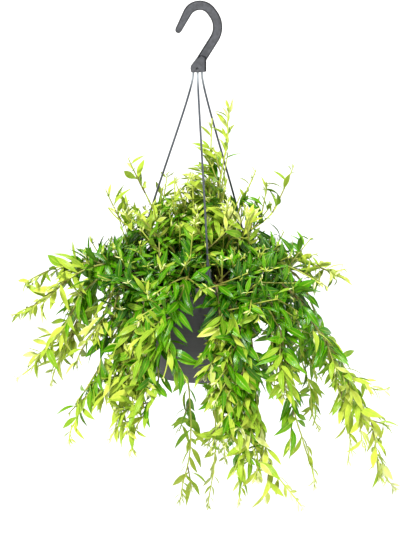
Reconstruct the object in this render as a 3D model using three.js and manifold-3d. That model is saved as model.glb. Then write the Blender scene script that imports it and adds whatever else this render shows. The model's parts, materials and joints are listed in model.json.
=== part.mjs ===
import * as THREE from "three";
import { mergeVertices } from "three/addons/utils/BufferGeometryUtils.js";
import Module from "manifold-3d";

// A trailing plant in a hanging pot, in millimetres, with +Z up and the front facing -Y.
// The origin is the inside top of the hook, the point that the whole plant hangs from.

const wasm = await Module();
wasm.setup();

// Pot and soil
const RIM_Z = -301;
const POT_HEIGHT = 116;
const RIM_RADIUS = 77;
const RIM_BAND = 6;
const BAND_WALL = 1.6;
const RIM_CHAMFER = 1;
const BASE_RADIUS = 57;
const BASE_CHAMFER = 2;
const WALL = 2;
const NECK_RADIUS = 71.4;
const POT_SIDES = 24;
const FIT_GAP = 0.35;
const SOIL_TOP_Z = RIM_Z - 12;
const SOIL_EDGE = 2;
const SOIL_SHOULDER = 6;
const CUT_HEIGHT = 8;
const DRAIN_HOLES = 6;
const DRAIN_RADIUS = 4;
const DRAIN_CIRCLE = 40;
const DRAIN_SIDES = 10;

// Hanger: the hook's centre line runs from its free tip over the crown to the block
const HOOK_TIP = [-21.8, -22.3];
const HOOK_CORNERS = [{ at: [0, 19.2], fillet: 15.6 }, { at: [26.9, -18.2], fillet: 24.5 }];
const HOOK_END = [1.4, -59];
const HOOK_TIP_WIDTH = 7.2;
const HOOK_SHANK_WIDTH = 10.5;
const HOOK_TIP_TAPER = 0.25;
const HOOK_DEPTH = 7.2;
const HOOK_STEPS = 22;
const HOOK_REACH = 0.01;
const HOOK_SECTION = [
  [1, -0.45], [1, 0.45], [0.55, 1], [-0.55, 1],
  [-1, 0.45], [-1, -0.45], [-0.55, -1], [0.55, -1],
];
const HOOK_ROUND_TIP = [{ taper: 0.35, shift: -3.2 }, { taper: 0.75, shift: -2.4 }];
const BLOCK_OUTLINE = [[-8.3, -63.4], [-7.6, -68.5], [9.4, -68.5], [9.4, -52.6], [4, -50.4], [-1.6, -54.4]];
const BLOCK_DEPTH = 14;
const BLOCK_BEVEL = 1;
const BLOCK_FLOOR_Z = -68.5;
const SOCKET_DEPTH = 5;
const SOCKET_RADIUS = 1.7;
const SOCKET_SIDES = 8;
const STRAND_RADIUS = 1.2;
const STRAND_CIRCLE = 73.4;
const STRAND_STEPS = 9;
const STRAND_SECTION = [[1, 0], [0.5, 0.87], [-0.5, 0.87], [-1, 0], [-0.5, -0.87], [0.5, -0.87]];
const STRAND_START = { straight: 3, handle: 24 };
const STRAND_SEAT = { rise: 9, handle: 42, lean: 3 };
const STRANDS = [
  { name: "strand_front", azimuth: 9, socket: [-0.3, -4] },
  { name: "strand_right", azimuth: 129, socket: [4.5, 2] },
  { name: "strand_left", azimuth: -111, socket: [-5.3, 2] },
];
const TONGUE = { width: 7, thickness: 1.6, length: 34, flare: 22 };
const WINDOW = { width: 3.8, bottom: 3, top: 20 };
const FOOT = { width: 5.3, thickness: 3, height: 4.5, drop: 8, reach: 0.4, ring: 0.4 };
const SLOT = { width: 8, thickness: 2.6 };

// Foliage
const STEM_SIDES = 3;
const STEM_RADIUS = 1.9;
const STEM_TIP_RADIUS = 1;
const STEM_STEP = 26;
const LEAST_STEPS = 4;
const STEM_SINK = 9;
const ROOT_HOLE_RADIUS = 3;
const ROOT_HOLE_DEPTH = 10;
const LEAF_LENGTH = 34;
const LEAF_SLIMNESS = 0.34;
const LEAF_THICKNESS = 1.3;
const FIRST_LEAF = 22;
const LEAF_PITCH = 29;
const PITCH_VARIETY = 0.2;
const TIP_CROWDING = 0.5;
const BARE_TIP = 4;
const LAST_LEAF = 1;
const SWAY = 2.6;
const WAVES = 1.4;
const STATION_REACH = 0.004;
const RISE_HANDLE = { lean: 1, part: 0.75 };
const CREST_HANDLE = 0.45;
const CROWN_HANDLE = 0.18;
const LIGHT_UP = 0.8;
const LIGHT_OUT = 0.6;
const LEAF_CLEARANCE = 0.6;
const CLEARANCE_ACROSS = 3;
const CLEARANCE_BELOW = 2;
const PAIRED_NODES = 3;
const SMALL_LEAF = 26;
const LEAF_DROOP = 0.12;
const LEAF_CURL = 0.2;
const LEAF_TILT = 0.8;
const LEAF_ROLL = 1.2;
const LEAF_ROLL_BIAS = 0.4;
const LEAF_SPREAD = { old: 66, young: 44, variety: 24 };
const LEAF_SIZES = { least: 0.85, most: 1.15, tip: 0.4 };
const LEAF_ROOT = 0.4;
const DODGES = [[0, 0], [0.35, 0], [-0.35, 0], [0.7, -0.2], [-0.7, -0.2], [0, -0.4], [1.1, 0], [-1.1, 0]];
const LEAF_STATIONS = [[0.27, 0.95], [0.62, 0.85]];
const SMALL_LEAF_STATIONS = [[0.4, 1]];

// Trailing shoots rise from the soil, crest over the rim and hang. Each row is the azimuth in degrees
// (0 is the front, 90 the right), the root's radius, the crest's radius and height over the rim, the tip's
// radius and height over the rim, the height and inset of the curve's last handle, and how far the azimuth
// turns along the way.
const TRAILING = [
  [-92, 34, 92, 14, 196, -12, 20, 30, 4],
  [-84, 40, 86, 12, 210, -48, 36, 50, 3],
  [-78, 44, 84, 9, 206, -124, 64, 60, -4],
  [-97, 40, 84, 10, 184, -142, 70, 50, -2],
  [-69, 48, 81, 8, 150, -96, 60, 40, 0],
  [-60, 50, 80, 7, 176, -180, 74, 66, 0],
  [-36, 50, 80, 6, 130, -168, 100, 14, -12],
  [-20, 50, 80, 6, 126, -182, 100, 12, -14],
  [-52, 50, 81, 8, 112, -118, 60, 2, 0],
  [-9, 40, 82, 14, 128, -82, 60, 8, -9],
  [-44, 46, 80, 6, 116, -134, 80, 4, 2],
  [176, 50, 82, 9, 94, -314, 150, 2, -10],
  [20, 50, 80, 7, 112, -118, 70, 4, 4],
  [14, 44, 80, 6, 128, -240, 130, 8, 11],
  [25, 52, 80, 6, 136, -204, 110, 12, 3],
  [31, 44, 80, 7, 162, -250, 80, 50, 11],
  [41, 52, 80, 7, 148, -100, 60, 20, 7],
  [48, 48, 80, 7, 154, -232, 110, 16, 12],
  [66, 46, 82, 9, 190, -206, 100, 12, 7],
  [58, 46, 82, 9, 224, -250, 110, 4, 20],
  [84, 42, 84, 10, 226, -142, 16, 100, 2],
  [96, 30, 94, 14, 172, -4, 4, 50, 0],
  [78, 32, 88, 18, 146, -6, 14, 30, 0],
  [107, 44, 84, 9, 182, -152, 60, 66, 0],
  [118, 50, 80, 6, 160, -222, 120, 14, 0],
  [133, 50, 80, 6, 140, -164, 90, 12, 0],
  [146, 42, 80, 7, 176, -120, 70, 12, 0],
  [157, 50, 80, 6, 116, -190, 100, 6, 0],
  [167, 44, 80, 7, 118, -280, 140, 8, 0],
  [185, 50, 82, 9, 98, -324, 150, 4, 4],
  [195, 42, 80, 8, 164, -96, 60, 14, 0],
  [212, 50, 80, 6, 150, -196, 110, 8, 0],
  [219, 46, 80, 8, 170, -140, 80, 30, 0],
  [238, 42, 84, 12, 176, -60, 40, 40, 0],
  [256, 44, 82, 9, 168, -116, 70, 40, -5],
];

// Crown shoots stand up or arch over the soil. Each row is the azimuth, the root's radius, the height of the
// first handle, the tip's radius and height over the rim, the height and inset of the last handle, and the turn.
const CROWN = [
  [90, 22, 60, 92, 88, -40, 20, 0],
  [104, 20, 80, 66, 122, -54, 10, 0],
  [62, 14, 90, 42, 204, -84, 4, 0],
  [100, 8, 90, 14, 182, -70, 2, 0],
  [-30, 10, 80, 12, 120, -50, 2, 0],
  [-70, 14, 70, 26, 112, -50, 2, 0],
  [-90, 22, 60, 72, 114, -50, 24, 0],
  [-86, 30, 50, 104, 80, -30, 30, 0],
  [-40, 28, 70, 78, 16, 40, 20, 0],
  [10, 26, 80, 66, 16, 44, 16, 0],
  [50, 28, 76, 84, 26, 30, 20, 0],
  [152, 22, 70, 62, 84, -30, 14, 0],
  [196, 16, 80, 40, 110, -50, 6, 0],
  [232, 24, 60, 84, 70, -20, 20, 0],
  [176, 30, 60, 96, 34, 20, 20, 0],
  [-8, 20, 70, 44, 62, 0, 10, 0],
  [34, 22, 70, 56, 66, -10, 10, 0],
  [-66, 28, 64, 92, 78, -20, 26, 0],
];

const MATERIALS = {
  pot: new THREE.MeshStandardMaterial({ color: 0x56535b, roughness: 0.7, metalness: 0 }),
  soil: new THREE.MeshStandardMaterial({ color: 0x2a201a, roughness: 1, metalness: 0 }),
  hook: new THREE.MeshStandardMaterial({ color: 0x5a5e63, roughness: 0.45, metalness: 0 }),
  strand: new THREE.MeshStandardMaterial({ color: 0x4b525b, roughness: 0.45, metalness: 0 }),
  foliage: new THREE.MeshStandardMaterial({ color: 0x7fae26, roughness: 0.4, metalness: 0 }),
};

const UP = new THREE.Vector3(0, 0, 1);

// Solid from a list of points and a list of corner numbers, three to a triangle
function solidFrom(points, corners) {
  return new wasm.Manifold(
    new wasm.Mesh({
      numProp: 3,
      vertProperties: new Float32Array(points.flatMap((point) => [point.x, point.y, point.z])),
      triVerts: new Uint32Array(corners),
    }),
  );
}

// Solid from a three.js geometry, with shared vertices merged and empty triangles left out
function solidOf(geometry) {
  geometry.deleteAttribute("normal");
  geometry.deleteAttribute("uv");
  const merged = mergeVertices(geometry, 1e-4);
  const place = merged.getAttribute("position");
  const pointAt = (_, i) => new THREE.Vector3().fromBufferAttribute(place, i);
  const points = Array.from({ length: place.count }, pointAt);
  const corners = [];
  for (let i = 0; i < merged.index.count; i += 3) {
    const [a, b, c] = merged.index.array.slice(i, i + 3);
    if (a !== b && b !== c && c !== a) corners.push(a, b, c);
  }
  return solidFrom(points, corners);
}

function geometryOf(solid) {
  const { vertProperties, triVerts } = solid.getMesh();
  const geometry = new THREE.BufferGeometry();
  geometry.setAttribute("position", new THREE.BufferAttribute(vertProperties, 3));
  geometry.setIndex(new THREE.BufferAttribute(triVerts, 1));
  return geometry;
}

// Solid through rings of equal corner count, each ring counter-clockwise seen from the far end
function loftSolid(rings) {
  const sides = rings[0].length;
  const corners = [];
  for (let k = 1; k < sides - 1; k++) {
    corners.push(0, k + 1, k);
  }
  for (let ring = 0; ring < rings.length - 1; ring++) {
    for (let k = 0; k < sides; k++) {
      const a = ring * sides + k;
      const b = ring * sides + ((k + 1) % sides);
      corners.push(a, b, b + sides, a, b + sides, a + sides);
    }
  }
  const last = (rings.length - 1) * sides;
  for (let k = 1; k < sides - 1; k++) {
    corners.push(last, last + k, last + k + 1);
  }
  return solidFrom(rings.flat(), corners);
}

// Ring of a section, given as pairs across and along the depth, at a station
function ringAt(centre, across, depth, section, halfWidth, halfDepth) {
  return section.map(([u, v]) =>
    centre.clone().addScaledVector(across, u * halfWidth).addScaledVector(depth, v * halfDepth),
  );
}

// Solid turned about the Z axis from pairs of radius and height
function turnedSolid(profile) {
  const points = profile.map(([radius, z]) => new THREE.Vector2(radius, z));
  const geometry = new THREE.LatheGeometry(points, POT_SIDES);
  geometry.rotateX(Math.PI / 2);
  return solidOf(geometry);
}

// Whole-number hash to a value from 0 to 1, the same each time for the same three numbers
function chance(a, b, c) {
  let h = Math.imul(a + 1, 374761393) ^ Math.imul(b + 1, 668265263) ^ Math.imul(c + 1, 1442695041);
  h = Math.imul(h ^ (h >>> 13), 1274126177);
  h ^= h >>> 16;
  return (h >>> 0) / 4294967296;
}

function outward(azimuth) {
  const angle = THREE.MathUtils.degToRad(azimuth);
  return new THREE.Vector3(Math.sin(angle), -Math.cos(angle), 0);
}

function sideways(azimuth) {
  return UP.clone().cross(outward(azimuth));
}

// Pot: a tapered shell with a banded rim, slots for the strands and drainage holes
function potSolid() {
  const baseZ = RIM_Z - POT_HEIGHT;
  const bandZ = RIM_Z - RIM_BAND;
  const flangeZ = RIM_Z - WALL;
  let pot = turnedSolid([
    [0, baseZ],
    [BASE_RADIUS - BASE_CHAMFER, baseZ],
    [BASE_RADIUS, baseZ + BASE_CHAMFER],
    [NECK_RADIUS, flangeZ],
    [RIM_RADIUS - BAND_WALL, flangeZ],
    [RIM_RADIUS - BAND_WALL, bandZ],
    [RIM_RADIUS, bandZ],
    [RIM_RADIUS, RIM_Z - RIM_CHAMFER],
    [RIM_RADIUS - RIM_CHAMFER, RIM_Z],
    [NECK_RADIUS - WALL, RIM_Z],
    [BASE_RADIUS - WALL, baseZ + WALL],
    [0, baseZ + WALL],
  ]);
  for (const { azimuth } of STRANDS) {
    const slot = new THREE.BoxGeometry(SLOT.width, SLOT.thickness, CUT_HEIGHT);
    slot.rotateZ(THREE.MathUtils.degToRad(azimuth));
    const centre = outward(azimuth).multiplyScalar(STRAND_CIRCLE);
    slot.translate(centre.x, centre.y, RIM_Z);
    pot = pot.subtract(solidOf(slot));
  }
  for (let k = 0; k < DRAIN_HOLES; k++) {
    const drain = new THREE.CylinderGeometry(DRAIN_RADIUS, DRAIN_RADIUS, CUT_HEIGHT, DRAIN_SIDES);
    drain.rotateX(Math.PI / 2);
    const centre = outward((360 * (k + 0.5)) / DRAIN_HOLES).multiplyScalar(DRAIN_CIRCLE);
    drain.translate(centre.x, centre.y, baseZ);
    pot = pot.subtract(solidOf(drain));
  }
  return pot;
}

// Soil: fills the pot, lower at its edge, with a hole for each root
function soilSolid(roots) {
  const bottomZ = RIM_Z - POT_HEIGHT + WALL + FIT_GAP;
  const slope = (NECK_RADIUS - BASE_RADIUS) / (POT_HEIGHT - WALL);
  const radiusAt = (z) => BASE_RADIUS - WALL - FIT_GAP + slope * (z - bottomZ);
  let soil = turnedSolid([
    [0, bottomZ],
    [radiusAt(bottomZ), bottomZ],
    [radiusAt(SOIL_TOP_Z - SOIL_EDGE), SOIL_TOP_Z - SOIL_EDGE],
    [radiusAt(SOIL_TOP_Z) - SOIL_SHOULDER, SOIL_TOP_Z],
    [0, SOIL_TOP_Z],
  ]);
  for (const root of roots) {
    const hole = new THREE.CylinderGeometry(ROOT_HOLE_RADIUS, ROOT_HOLE_RADIUS, 2 * ROOT_HOLE_DEPTH, STEM_SIDES);
    hole.rotateX(Math.PI / 2);
    hole.rotateZ(Math.atan2(root.x, -root.y) + Math.PI);
    hole.translate(root.x, root.y, SOIL_TOP_Z);
    soil = soil.subtract(solidOf(hole));
  }
  return soil;
}

// Centre line of the hook, with arcs of the given radii in its corners
function hookCentreLine() {
  const line = new THREE.CurvePath();
  let from = new THREE.Vector2(...HOOK_TIP);
  const stops = [...HOOK_CORNERS.map(({ at }) => at), HOOK_END].map((at) => new THREE.Vector2(...at));
  HOOK_CORNERS.forEach(({ fillet }, k) => {
    const corner = stops[k];
    const inward = corner.clone().sub(from).normalize();
    const onward = stops[k + 1].clone().sub(corner).normalize();
    const turn = Math.acos(inward.dot(onward));
    const setback = fillet * Math.tan(turn / 2);
    const start = corner.clone().addScaledVector(inward, -setback);
    const centre = start.clone().add(new THREE.Vector2(inward.y, -inward.x).multiplyScalar(fillet));
    const angle = Math.atan2(start.y - centre.y, start.x - centre.x);
    line.add(new THREE.LineCurve(from, start));
    line.add(new THREE.EllipseCurve(centre.x, centre.y, fillet, fillet, angle, angle - turn, true, 0));
    from = corner.clone().addScaledVector(onward, setback);
  });
  line.add(new THREE.LineCurve(from, stops.at(-1)));
  return line;
}

function hookSolid() {
  const line = hookCentreLine();
  const depth = new THREE.Vector3(0, 1, 0);
  const ringOn = (at, taper, shift) => {
    const point = line.getPoint(at);
    const before = line.getPoint(Math.max(at - HOOK_REACH, 0));
    const after = line.getPoint(Math.min(at + HOOK_REACH, 1));
    const along = new THREE.Vector3(after.x - before.x, 0, after.y - before.y).normalize();
    const across = depth.clone().cross(along);
    const centre = new THREE.Vector3(point.x, 0, point.y).addScaledVector(along, shift);
    const width = THREE.MathUtils.lerp(HOOK_TIP_WIDTH, HOOK_SHANK_WIDTH, Math.min(1, at / HOOK_TIP_TAPER)) * taper;
    return ringAt(centre, across, depth, HOOK_SECTION, width / 2, (HOOK_DEPTH / 2) * taper);
  };
  const rings = HOOK_ROUND_TIP.map(({ taper, shift }) => ringOn(0, taper, shift));
  for (let k = 0; k <= HOOK_STEPS; k++) {
    rings.push(ringOn(k / HOOK_STEPS, 1, 0));
  }
  const shank = loftSolid(rings);
  const outline = new THREE.Shape(BLOCK_OUTLINE.map(([x, z]) => new THREE.Vector2(x, z)));
  const block = new THREE.ExtrudeGeometry(outline, {
    depth: BLOCK_DEPTH - 2 * BLOCK_BEVEL,
    bevelThickness: BLOCK_BEVEL,
    bevelSize: BLOCK_BEVEL,
    bevelOffset: -BLOCK_BEVEL,
    bevelSegments: 1,
  });
  block.rotateX(Math.PI / 2);
  block.translate(0, BLOCK_DEPTH / 2 - BLOCK_BEVEL, 0);
  let hook = shank.add(solidOf(block));
  for (const { socket } of STRANDS) {
    const bore = new THREE.CylinderGeometry(SOCKET_RADIUS, SOCKET_RADIUS, 2 * SOCKET_DEPTH, SOCKET_SIDES);
    bore.rotateX(Math.PI / 2);
    bore.translate(socket[0], socket[1], BLOCK_FLOOR_Z);
    hook = hook.subtract(solidOf(bore));
  }
  return hook;
}

// Strand: a round cord from its socket to the rim, spreading into a flat tongue with a window and a foot
function strandSolid({ azimuth, socket }) {
  const out = outward(azimuth);
  const across = sideways(azimuth);
  const top = new THREE.Vector3(socket[0], socket[1], BLOCK_FLOOR_Z + SOCKET_DEPTH - FIT_GAP);
  const mouth = top.clone().setZ(BLOCK_FLOOR_Z - STRAND_START.straight);
  const seat = out.clone().multiplyScalar(STRAND_CIRCLE).setZ(RIM_Z + STRAND_SEAT.rise);
  const end = seat.clone().setZ(RIM_Z - FOOT.drop - FOOT.height);
  const free = new THREE.CubicBezierCurve3(
    mouth,
    mouth.clone().setZ(mouth.z - STRAND_START.handle),
    seat.clone().addScaledVector(out, -STRAND_SEAT.lean).setZ(seat.z + STRAND_SEAT.handle),
    seat,
  );
  const points = [top, ...free.getSpacedPoints(STRAND_STEPS), seat.clone().lerp(end, FOOT.ring), end];
  const rings = points.map((point, k) => {
    const spread = THREE.MathUtils.smoothstep(TONGUE.length - (point.z - RIM_Z), 0, TONGUE.flare);
    const halfWidth = THREE.MathUtils.lerp(STRAND_RADIUS, TONGUE.width / 2, spread);
    const halfDepth = THREE.MathUtils.lerp(STRAND_RADIUS, TONGUE.thickness / 2, spread);
    const before = points[Math.max(k - 1, 0)];
    const after = points[Math.min(k + 1, points.length - 1)];
    const along = k < 2 ? UP.clone().negate() : after.clone().sub(before).normalize();
    return ringAt(point, across, along.cross(across), STRAND_SECTION, halfWidth, halfDepth);
  });
  let strand = loftSolid(rings);
  const window = new THREE.Shape([
    new THREE.Vector2(0, WINDOW.top),
    new THREE.Vector2(-WINDOW.width / 2, WINDOW.bottom),
    new THREE.Vector2(WINDOW.width / 2, WINDOW.bottom),
  ]);
  const cut = new THREE.ExtrudeGeometry(window, { depth: 2 * TONGUE.width, bevelEnabled: false });
  cut.rotateX(Math.PI / 2);
  cut.translate(0, TONGUE.width, 0);
  cut.rotateZ(THREE.MathUtils.degToRad(azimuth));
  const middle = out.clone().multiplyScalar(STRAND_CIRCLE);
  cut.translate(middle.x, middle.y, RIM_Z);
  strand = strand.subtract(solidOf(cut));
  const foot = new THREE.BoxGeometry(FOOT.width, FOOT.thickness, FOOT.height);
  foot.rotateZ(THREE.MathUtils.degToRad(azimuth));
  const footAt = out.clone().multiplyScalar(STRAND_CIRCLE + FOOT.reach);
  foot.translate(footAt.x, footAt.y, RIM_Z - FOOT.drop - FOOT.height / 2);
  return strand.add(solidOf(foot));
}

// Route of a shoot in its own upright plane, as radius and height, with the azimuth turning along the way
function trailingShoot([azimuth, root, crestRadius, crest, reach, tip, hang, inset, turn]) {
  const crestZ = RIM_Z + crest;
  const tipZ = RIM_Z + tip;
  const { lean, part } = RISE_HANDLE;
  const plane = new THREE.CurvePath();
  plane.add(
    new THREE.CubicBezierCurve(
      new THREE.Vector2(root, SOIL_TOP_Z),
      new THREE.Vector2(root + lean, THREE.MathUtils.lerp(SOIL_TOP_Z, crestZ, part)),
      new THREE.Vector2(THREE.MathUtils.lerp(crestRadius, root, CREST_HANDLE), crestZ),
      new THREE.Vector2(crestRadius, crestZ),
    ),
  );
  plane.add(
    new THREE.CubicBezierCurve(
      new THREE.Vector2(crestRadius, crestZ),
      new THREE.Vector2(THREE.MathUtils.lerp(crestRadius, reach, CREST_HANDLE), crestZ),
      new THREE.Vector2(reach - inset, tipZ + hang),
      new THREE.Vector2(reach, tipZ),
    ),
  );
  return { azimuth, root, plane, turn };
}

function crownShoot([azimuth, root, lift, reach, tip, hang, inset, turn]) {
  const tipZ = RIM_Z + tip;
  const plane = new THREE.CurvePath();
  plane.add(
    new THREE.CubicBezierCurve(
      new THREE.Vector2(root, SOIL_TOP_Z),
      new THREE.Vector2(THREE.MathUtils.lerp(root, reach, CROWN_HANDLE), SOIL_TOP_Z + lift),
      new THREE.Vector2(reach - inset, tipZ + hang),
      new THREE.Vector2(reach, tipZ),
    ),
  );
  return { azimuth, root, plane, turn };
}

// Point, direction and side directions of a shoot at a share of its length
function stationOn(shoot, share) {
  const turnAt = (part) => {
    const wave = Math.sin(2 * Math.PI * (WAVES * part + chance(shoot.index, 0, 9)));
    return shoot.azimuth + shoot.turn * part * part + SWAY * part * wave;
  };
  const place = (part) => {
    const flat = shoot.plane.getPoint(part);
    return outward(turnAt(part)).multiplyScalar(flat.x).setZ(flat.y);
  };
  const point = place(share);
  const before = place(Math.max(share - STATION_REACH, 0));
  const along = place(Math.min(share + STATION_REACH, 1)).sub(before).normalize();
  const out = outward(turnAt(share));
  const side = UP.clone().cross(out);
  side.addScaledVector(along, -side.dot(along)).normalize();
  const lift = along.clone().cross(side);
  return { point, along, side, lift, out };
}

function stemRadius(share) {
  return THREE.MathUtils.lerp(STEM_RADIUS, STEM_TIP_RADIUS, share);
}

function stemSolid(shoot) {
  const section = Array.from({ length: STEM_SIDES }, (_, k) => {
    const angle = Math.PI / 2 + (2 * Math.PI * k) / STEM_SIDES;
    return [Math.cos(angle), Math.sin(angle)];
  });
  const foot = stationOn(shoot, 0);
  foot.point.z -= STEM_SINK;
  const rings = [ringAt(foot.point, foot.side, foot.lift, section, STEM_RADIUS, STEM_RADIUS)];
  for (let k = 0; k <= shoot.steps; k++) {
    const { point, side, lift } = stationOn(shoot, k / shoot.steps);
    rings.push(ringAt(point, side, lift, section, stemRadius(k / shoot.steps), stemRadius(k / shoot.steps)));
  }
  return loftSolid(rings);
}

// Station on the straight stretch of the stem that a share of its length falls on
function leafStation(shoot, share) {
  const station = stationOn(shoot, share);
  const step = Math.min(Math.floor(share * shoot.steps), shoot.steps - 1);
  const from = stationOn(shoot, step / shoot.steps).point;
  const to = stationOn(shoot, (step + 1) / shoot.steps).point;
  station.point.copy(from.lerp(to, share * shoot.steps - step));
  return station;
}

// Pairs of leaves along a shoot, closer and smaller towards the tip
function leafNodes(index, length) {
  const nodes = [];
  let reached = FIRST_LEAF;
  for (let k = 0; reached < length - BARE_TIP; k++) {
    const share = reached / length;
    nodes.push({ k, share });
    const variety = 1 + PITCH_VARIETY * (chance(index, k, 0) - 0.5);
    reached += LEAF_PITCH * (1 - TIP_CROWDING * share ** 3) * variety;
  }
  nodes.push({ k: nodes.length, share: 1 - LAST_LEAF / length });
  return nodes;
}

// Leaf blade: a lance shape with a keel below that curls down, with its root sunk in the stem
function leafSolid(station, share, size, { sign, roll, spread, tilt }, clearance) {
  const { point, along, side, lift, out } = station;
  const sweep = side.clone().multiplyScalar(sign * Math.cos(roll)).addScaledVector(lift, Math.sin(roll));
  const way = along.clone().multiplyScalar(Math.cos(spread)).addScaledVector(sweep, Math.sin(spread));
  way.z -= LEAF_DROOP;
  way.normalize();
  const face = UP.clone().multiplyScalar(LIGHT_UP).addScaledVector(out, LIGHT_OUT);
  face.addScaledVector(way, -face.dot(way)).normalize().applyAxisAngle(way, tilt);
  const across = face.clone().cross(way);
  const half = (size * LEAF_SLIMNESS) / 2 + CLEARANCE_ACROSS * clearance;
  const keel = LEAF_THICKNESS + CLEARANCE_BELOW * clearance;
  const centreAt = (u) =>
    point.clone().addScaledVector(way, u * size).addScaledVector(face, -LEAF_CURL * size * u * u);
  const points = [point.clone().addScaledVector(way, -LEAF_ROOT * stemRadius(share))];
  for (const [u, width] of size < SMALL_LEAF ? SMALL_LEAF_STATIONS : LEAF_STATIONS) {
    points.push(
      centreAt(u).addScaledVector(across, half * width).addScaledVector(face, clearance),
      centreAt(u).addScaledVector(across, -half * width).addScaledVector(face, clearance),
      centreAt(u).addScaledVector(face, -keel),
    );
  }
  points.push(centreAt(1 + clearance / size));
  const tip = points.length - 1;
  const corners = [];
  for (let k = 0; k < 3; k++) {
    const next = (k + 1) % 3;
    corners.push(0, 1 + next, 1 + k);
    for (let ring = 1; ring + 3 < tip; ring += 3) {
      corners.push(ring + k, ring + next, ring + next + 3, ring + k, ring + next + 3, ring + k + 3);
    }
    corners.push(tip - 3 + k, tip - 3 + next, tip);
  }
  return solidFrom(points, corners);
}

function boxesMeet(a, b) {
  return [0, 1, 2].every((axis) => a.min[axis] <= b.max[axis] && b.min[axis] <= a.max[axis]);
}

// First pose of a leaf that keeps clear of everything but its own shoot, or nothing where none does
function clearLeaf(shoot, node, sign, others) {
  const { k, share } = node;
  const station = leafStation(shoot, share);
  const seed = 2 * k + (sign > 0 ? 1 : 0);
  const vigour = THREE.MathUtils.lerp(LEAF_SIZES.least, LEAF_SIZES.most, chance(shoot.index, seed, 1));
  const size = LEAF_LENGTH * vigour * THREE.MathUtils.lerp(1, LEAF_SIZES.tip, share ** 4);
  const crossed = shoot.upright && k % 2 ? Math.PI / 2 : 0;
  const roll = LEAF_ROLL * (chance(shoot.index, seed, 2) - LEAF_ROLL_BIAS) + crossed;
  const opening = THREE.MathUtils.lerp(LEAF_SPREAD.old, LEAF_SPREAD.young, share ** 3);
  const spread = THREE.MathUtils.degToRad(opening + LEAF_SPREAD.variety * (chance(shoot.index, seed, 3) - 0.5));
  const tilt = LEAF_TILT * (2 * chance(shoot.index, seed, 4) - 1);
  for (const [moreRoll, moreSpread] of DODGES) {
    const pose = { sign, roll: roll + moreRoll, spread: spread + moreSpread, tilt };
    const test = leafSolid(station, share, size, pose, LEAF_CLEARANCE);
    const box = test.boundingBox();
    const isClearOf = (other) => !boxesMeet(box, other.box) || test.intersect(other.solid).isEmpty();
    if (others.every(isClearOf)) return leafSolid(station, share, size, pose, 0);
  }
  return null;
}

const group = new THREE.Group();

function addNode(name, solid, material) {
  const mesh = new THREE.Mesh(geometryOf(solid), material);
  mesh.name = name;
  group.add(mesh);
}

const shoots = [...TRAILING.map(trailingShoot), ...CROWN.map(crownShoot)];
shoots.forEach((shoot, index) => {
  shoot.index = index;
  shoot.upright = index >= TRAILING.length;
  shoot.length = shoot.plane.getLength();
  shoot.steps = Math.max(LEAST_STEPS, Math.round(shoot.length / STEM_STEP));
  shoot.stem = stemSolid(shoot);
  shoot.solid = shoot.stem;
  shoot.nodes = leafNodes(index, shoot.length);
});

const roots = shoots.map(({ azimuth, root }) => outward(azimuth).multiplyScalar(root));
const hard = [
  ["pot", potSolid(), MATERIALS.pot],
  ["soil", soilSolid(roots), MATERIALS.soil],
  ["hanger_hook", hookSolid(), MATERIALS.hook],
  ...STRANDS.map((strand) => [strand.name, strandSolid(strand), MATERIALS.strand]),
];
for (const [name, solid, material] of hard) {
  addNode(name, solid, material);
}

// Everything that a leaf keeps clear of, with the shoot that it belongs to
const placed = [
  ...hard.map(([, solid]) => ({ owner: -1, solid, box: solid.boundingBox() })),
  ...shoots.map(({ index, stem }) => ({ owner: index, solid: stem, box: stem.boundingBox() })),
];
const mostNodes = Math.max(...shoots.map(({ nodes }) => nodes.length));
for (let back = 1; back <= mostNodes; back++) {
  for (const shoot of shoots) {
    const node = shoot.nodes.at(-back);
    if (!node) continue;
    const paired = back === 1 || (shoot.upright && node.k < PAIRED_NODES);
    const signs = paired ? [1, -1] : [node.k % 2 ? 1 : -1];
    for (const sign of signs) {
      const others = placed.filter(({ owner }) => owner !== shoot.index);
      const leaf = clearLeaf(shoot, node, sign, others);
      if (!leaf) continue;
      shoot.solid = shoot.solid.add(leaf);
      placed.push({ owner: shoot.index, solid: leaf, box: leaf.boundingBox() });
    }
  }
}

for (const { index, solid } of shoots) {
  addNode(`shoot_${String(index + 1).padStart(2, "0")}`, solid, MATERIALS.foliage);
}

export default group;
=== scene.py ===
"""A trailing plant in a hanging pot: smooth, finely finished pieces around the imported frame."""

import bisect
import json
import math

import bmesh
import bpy
from bpy.props import FloatProperty, FloatVectorProperty, IntProperty, PointerProperty
from mathutils import Matrix, Vector, noise

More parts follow.
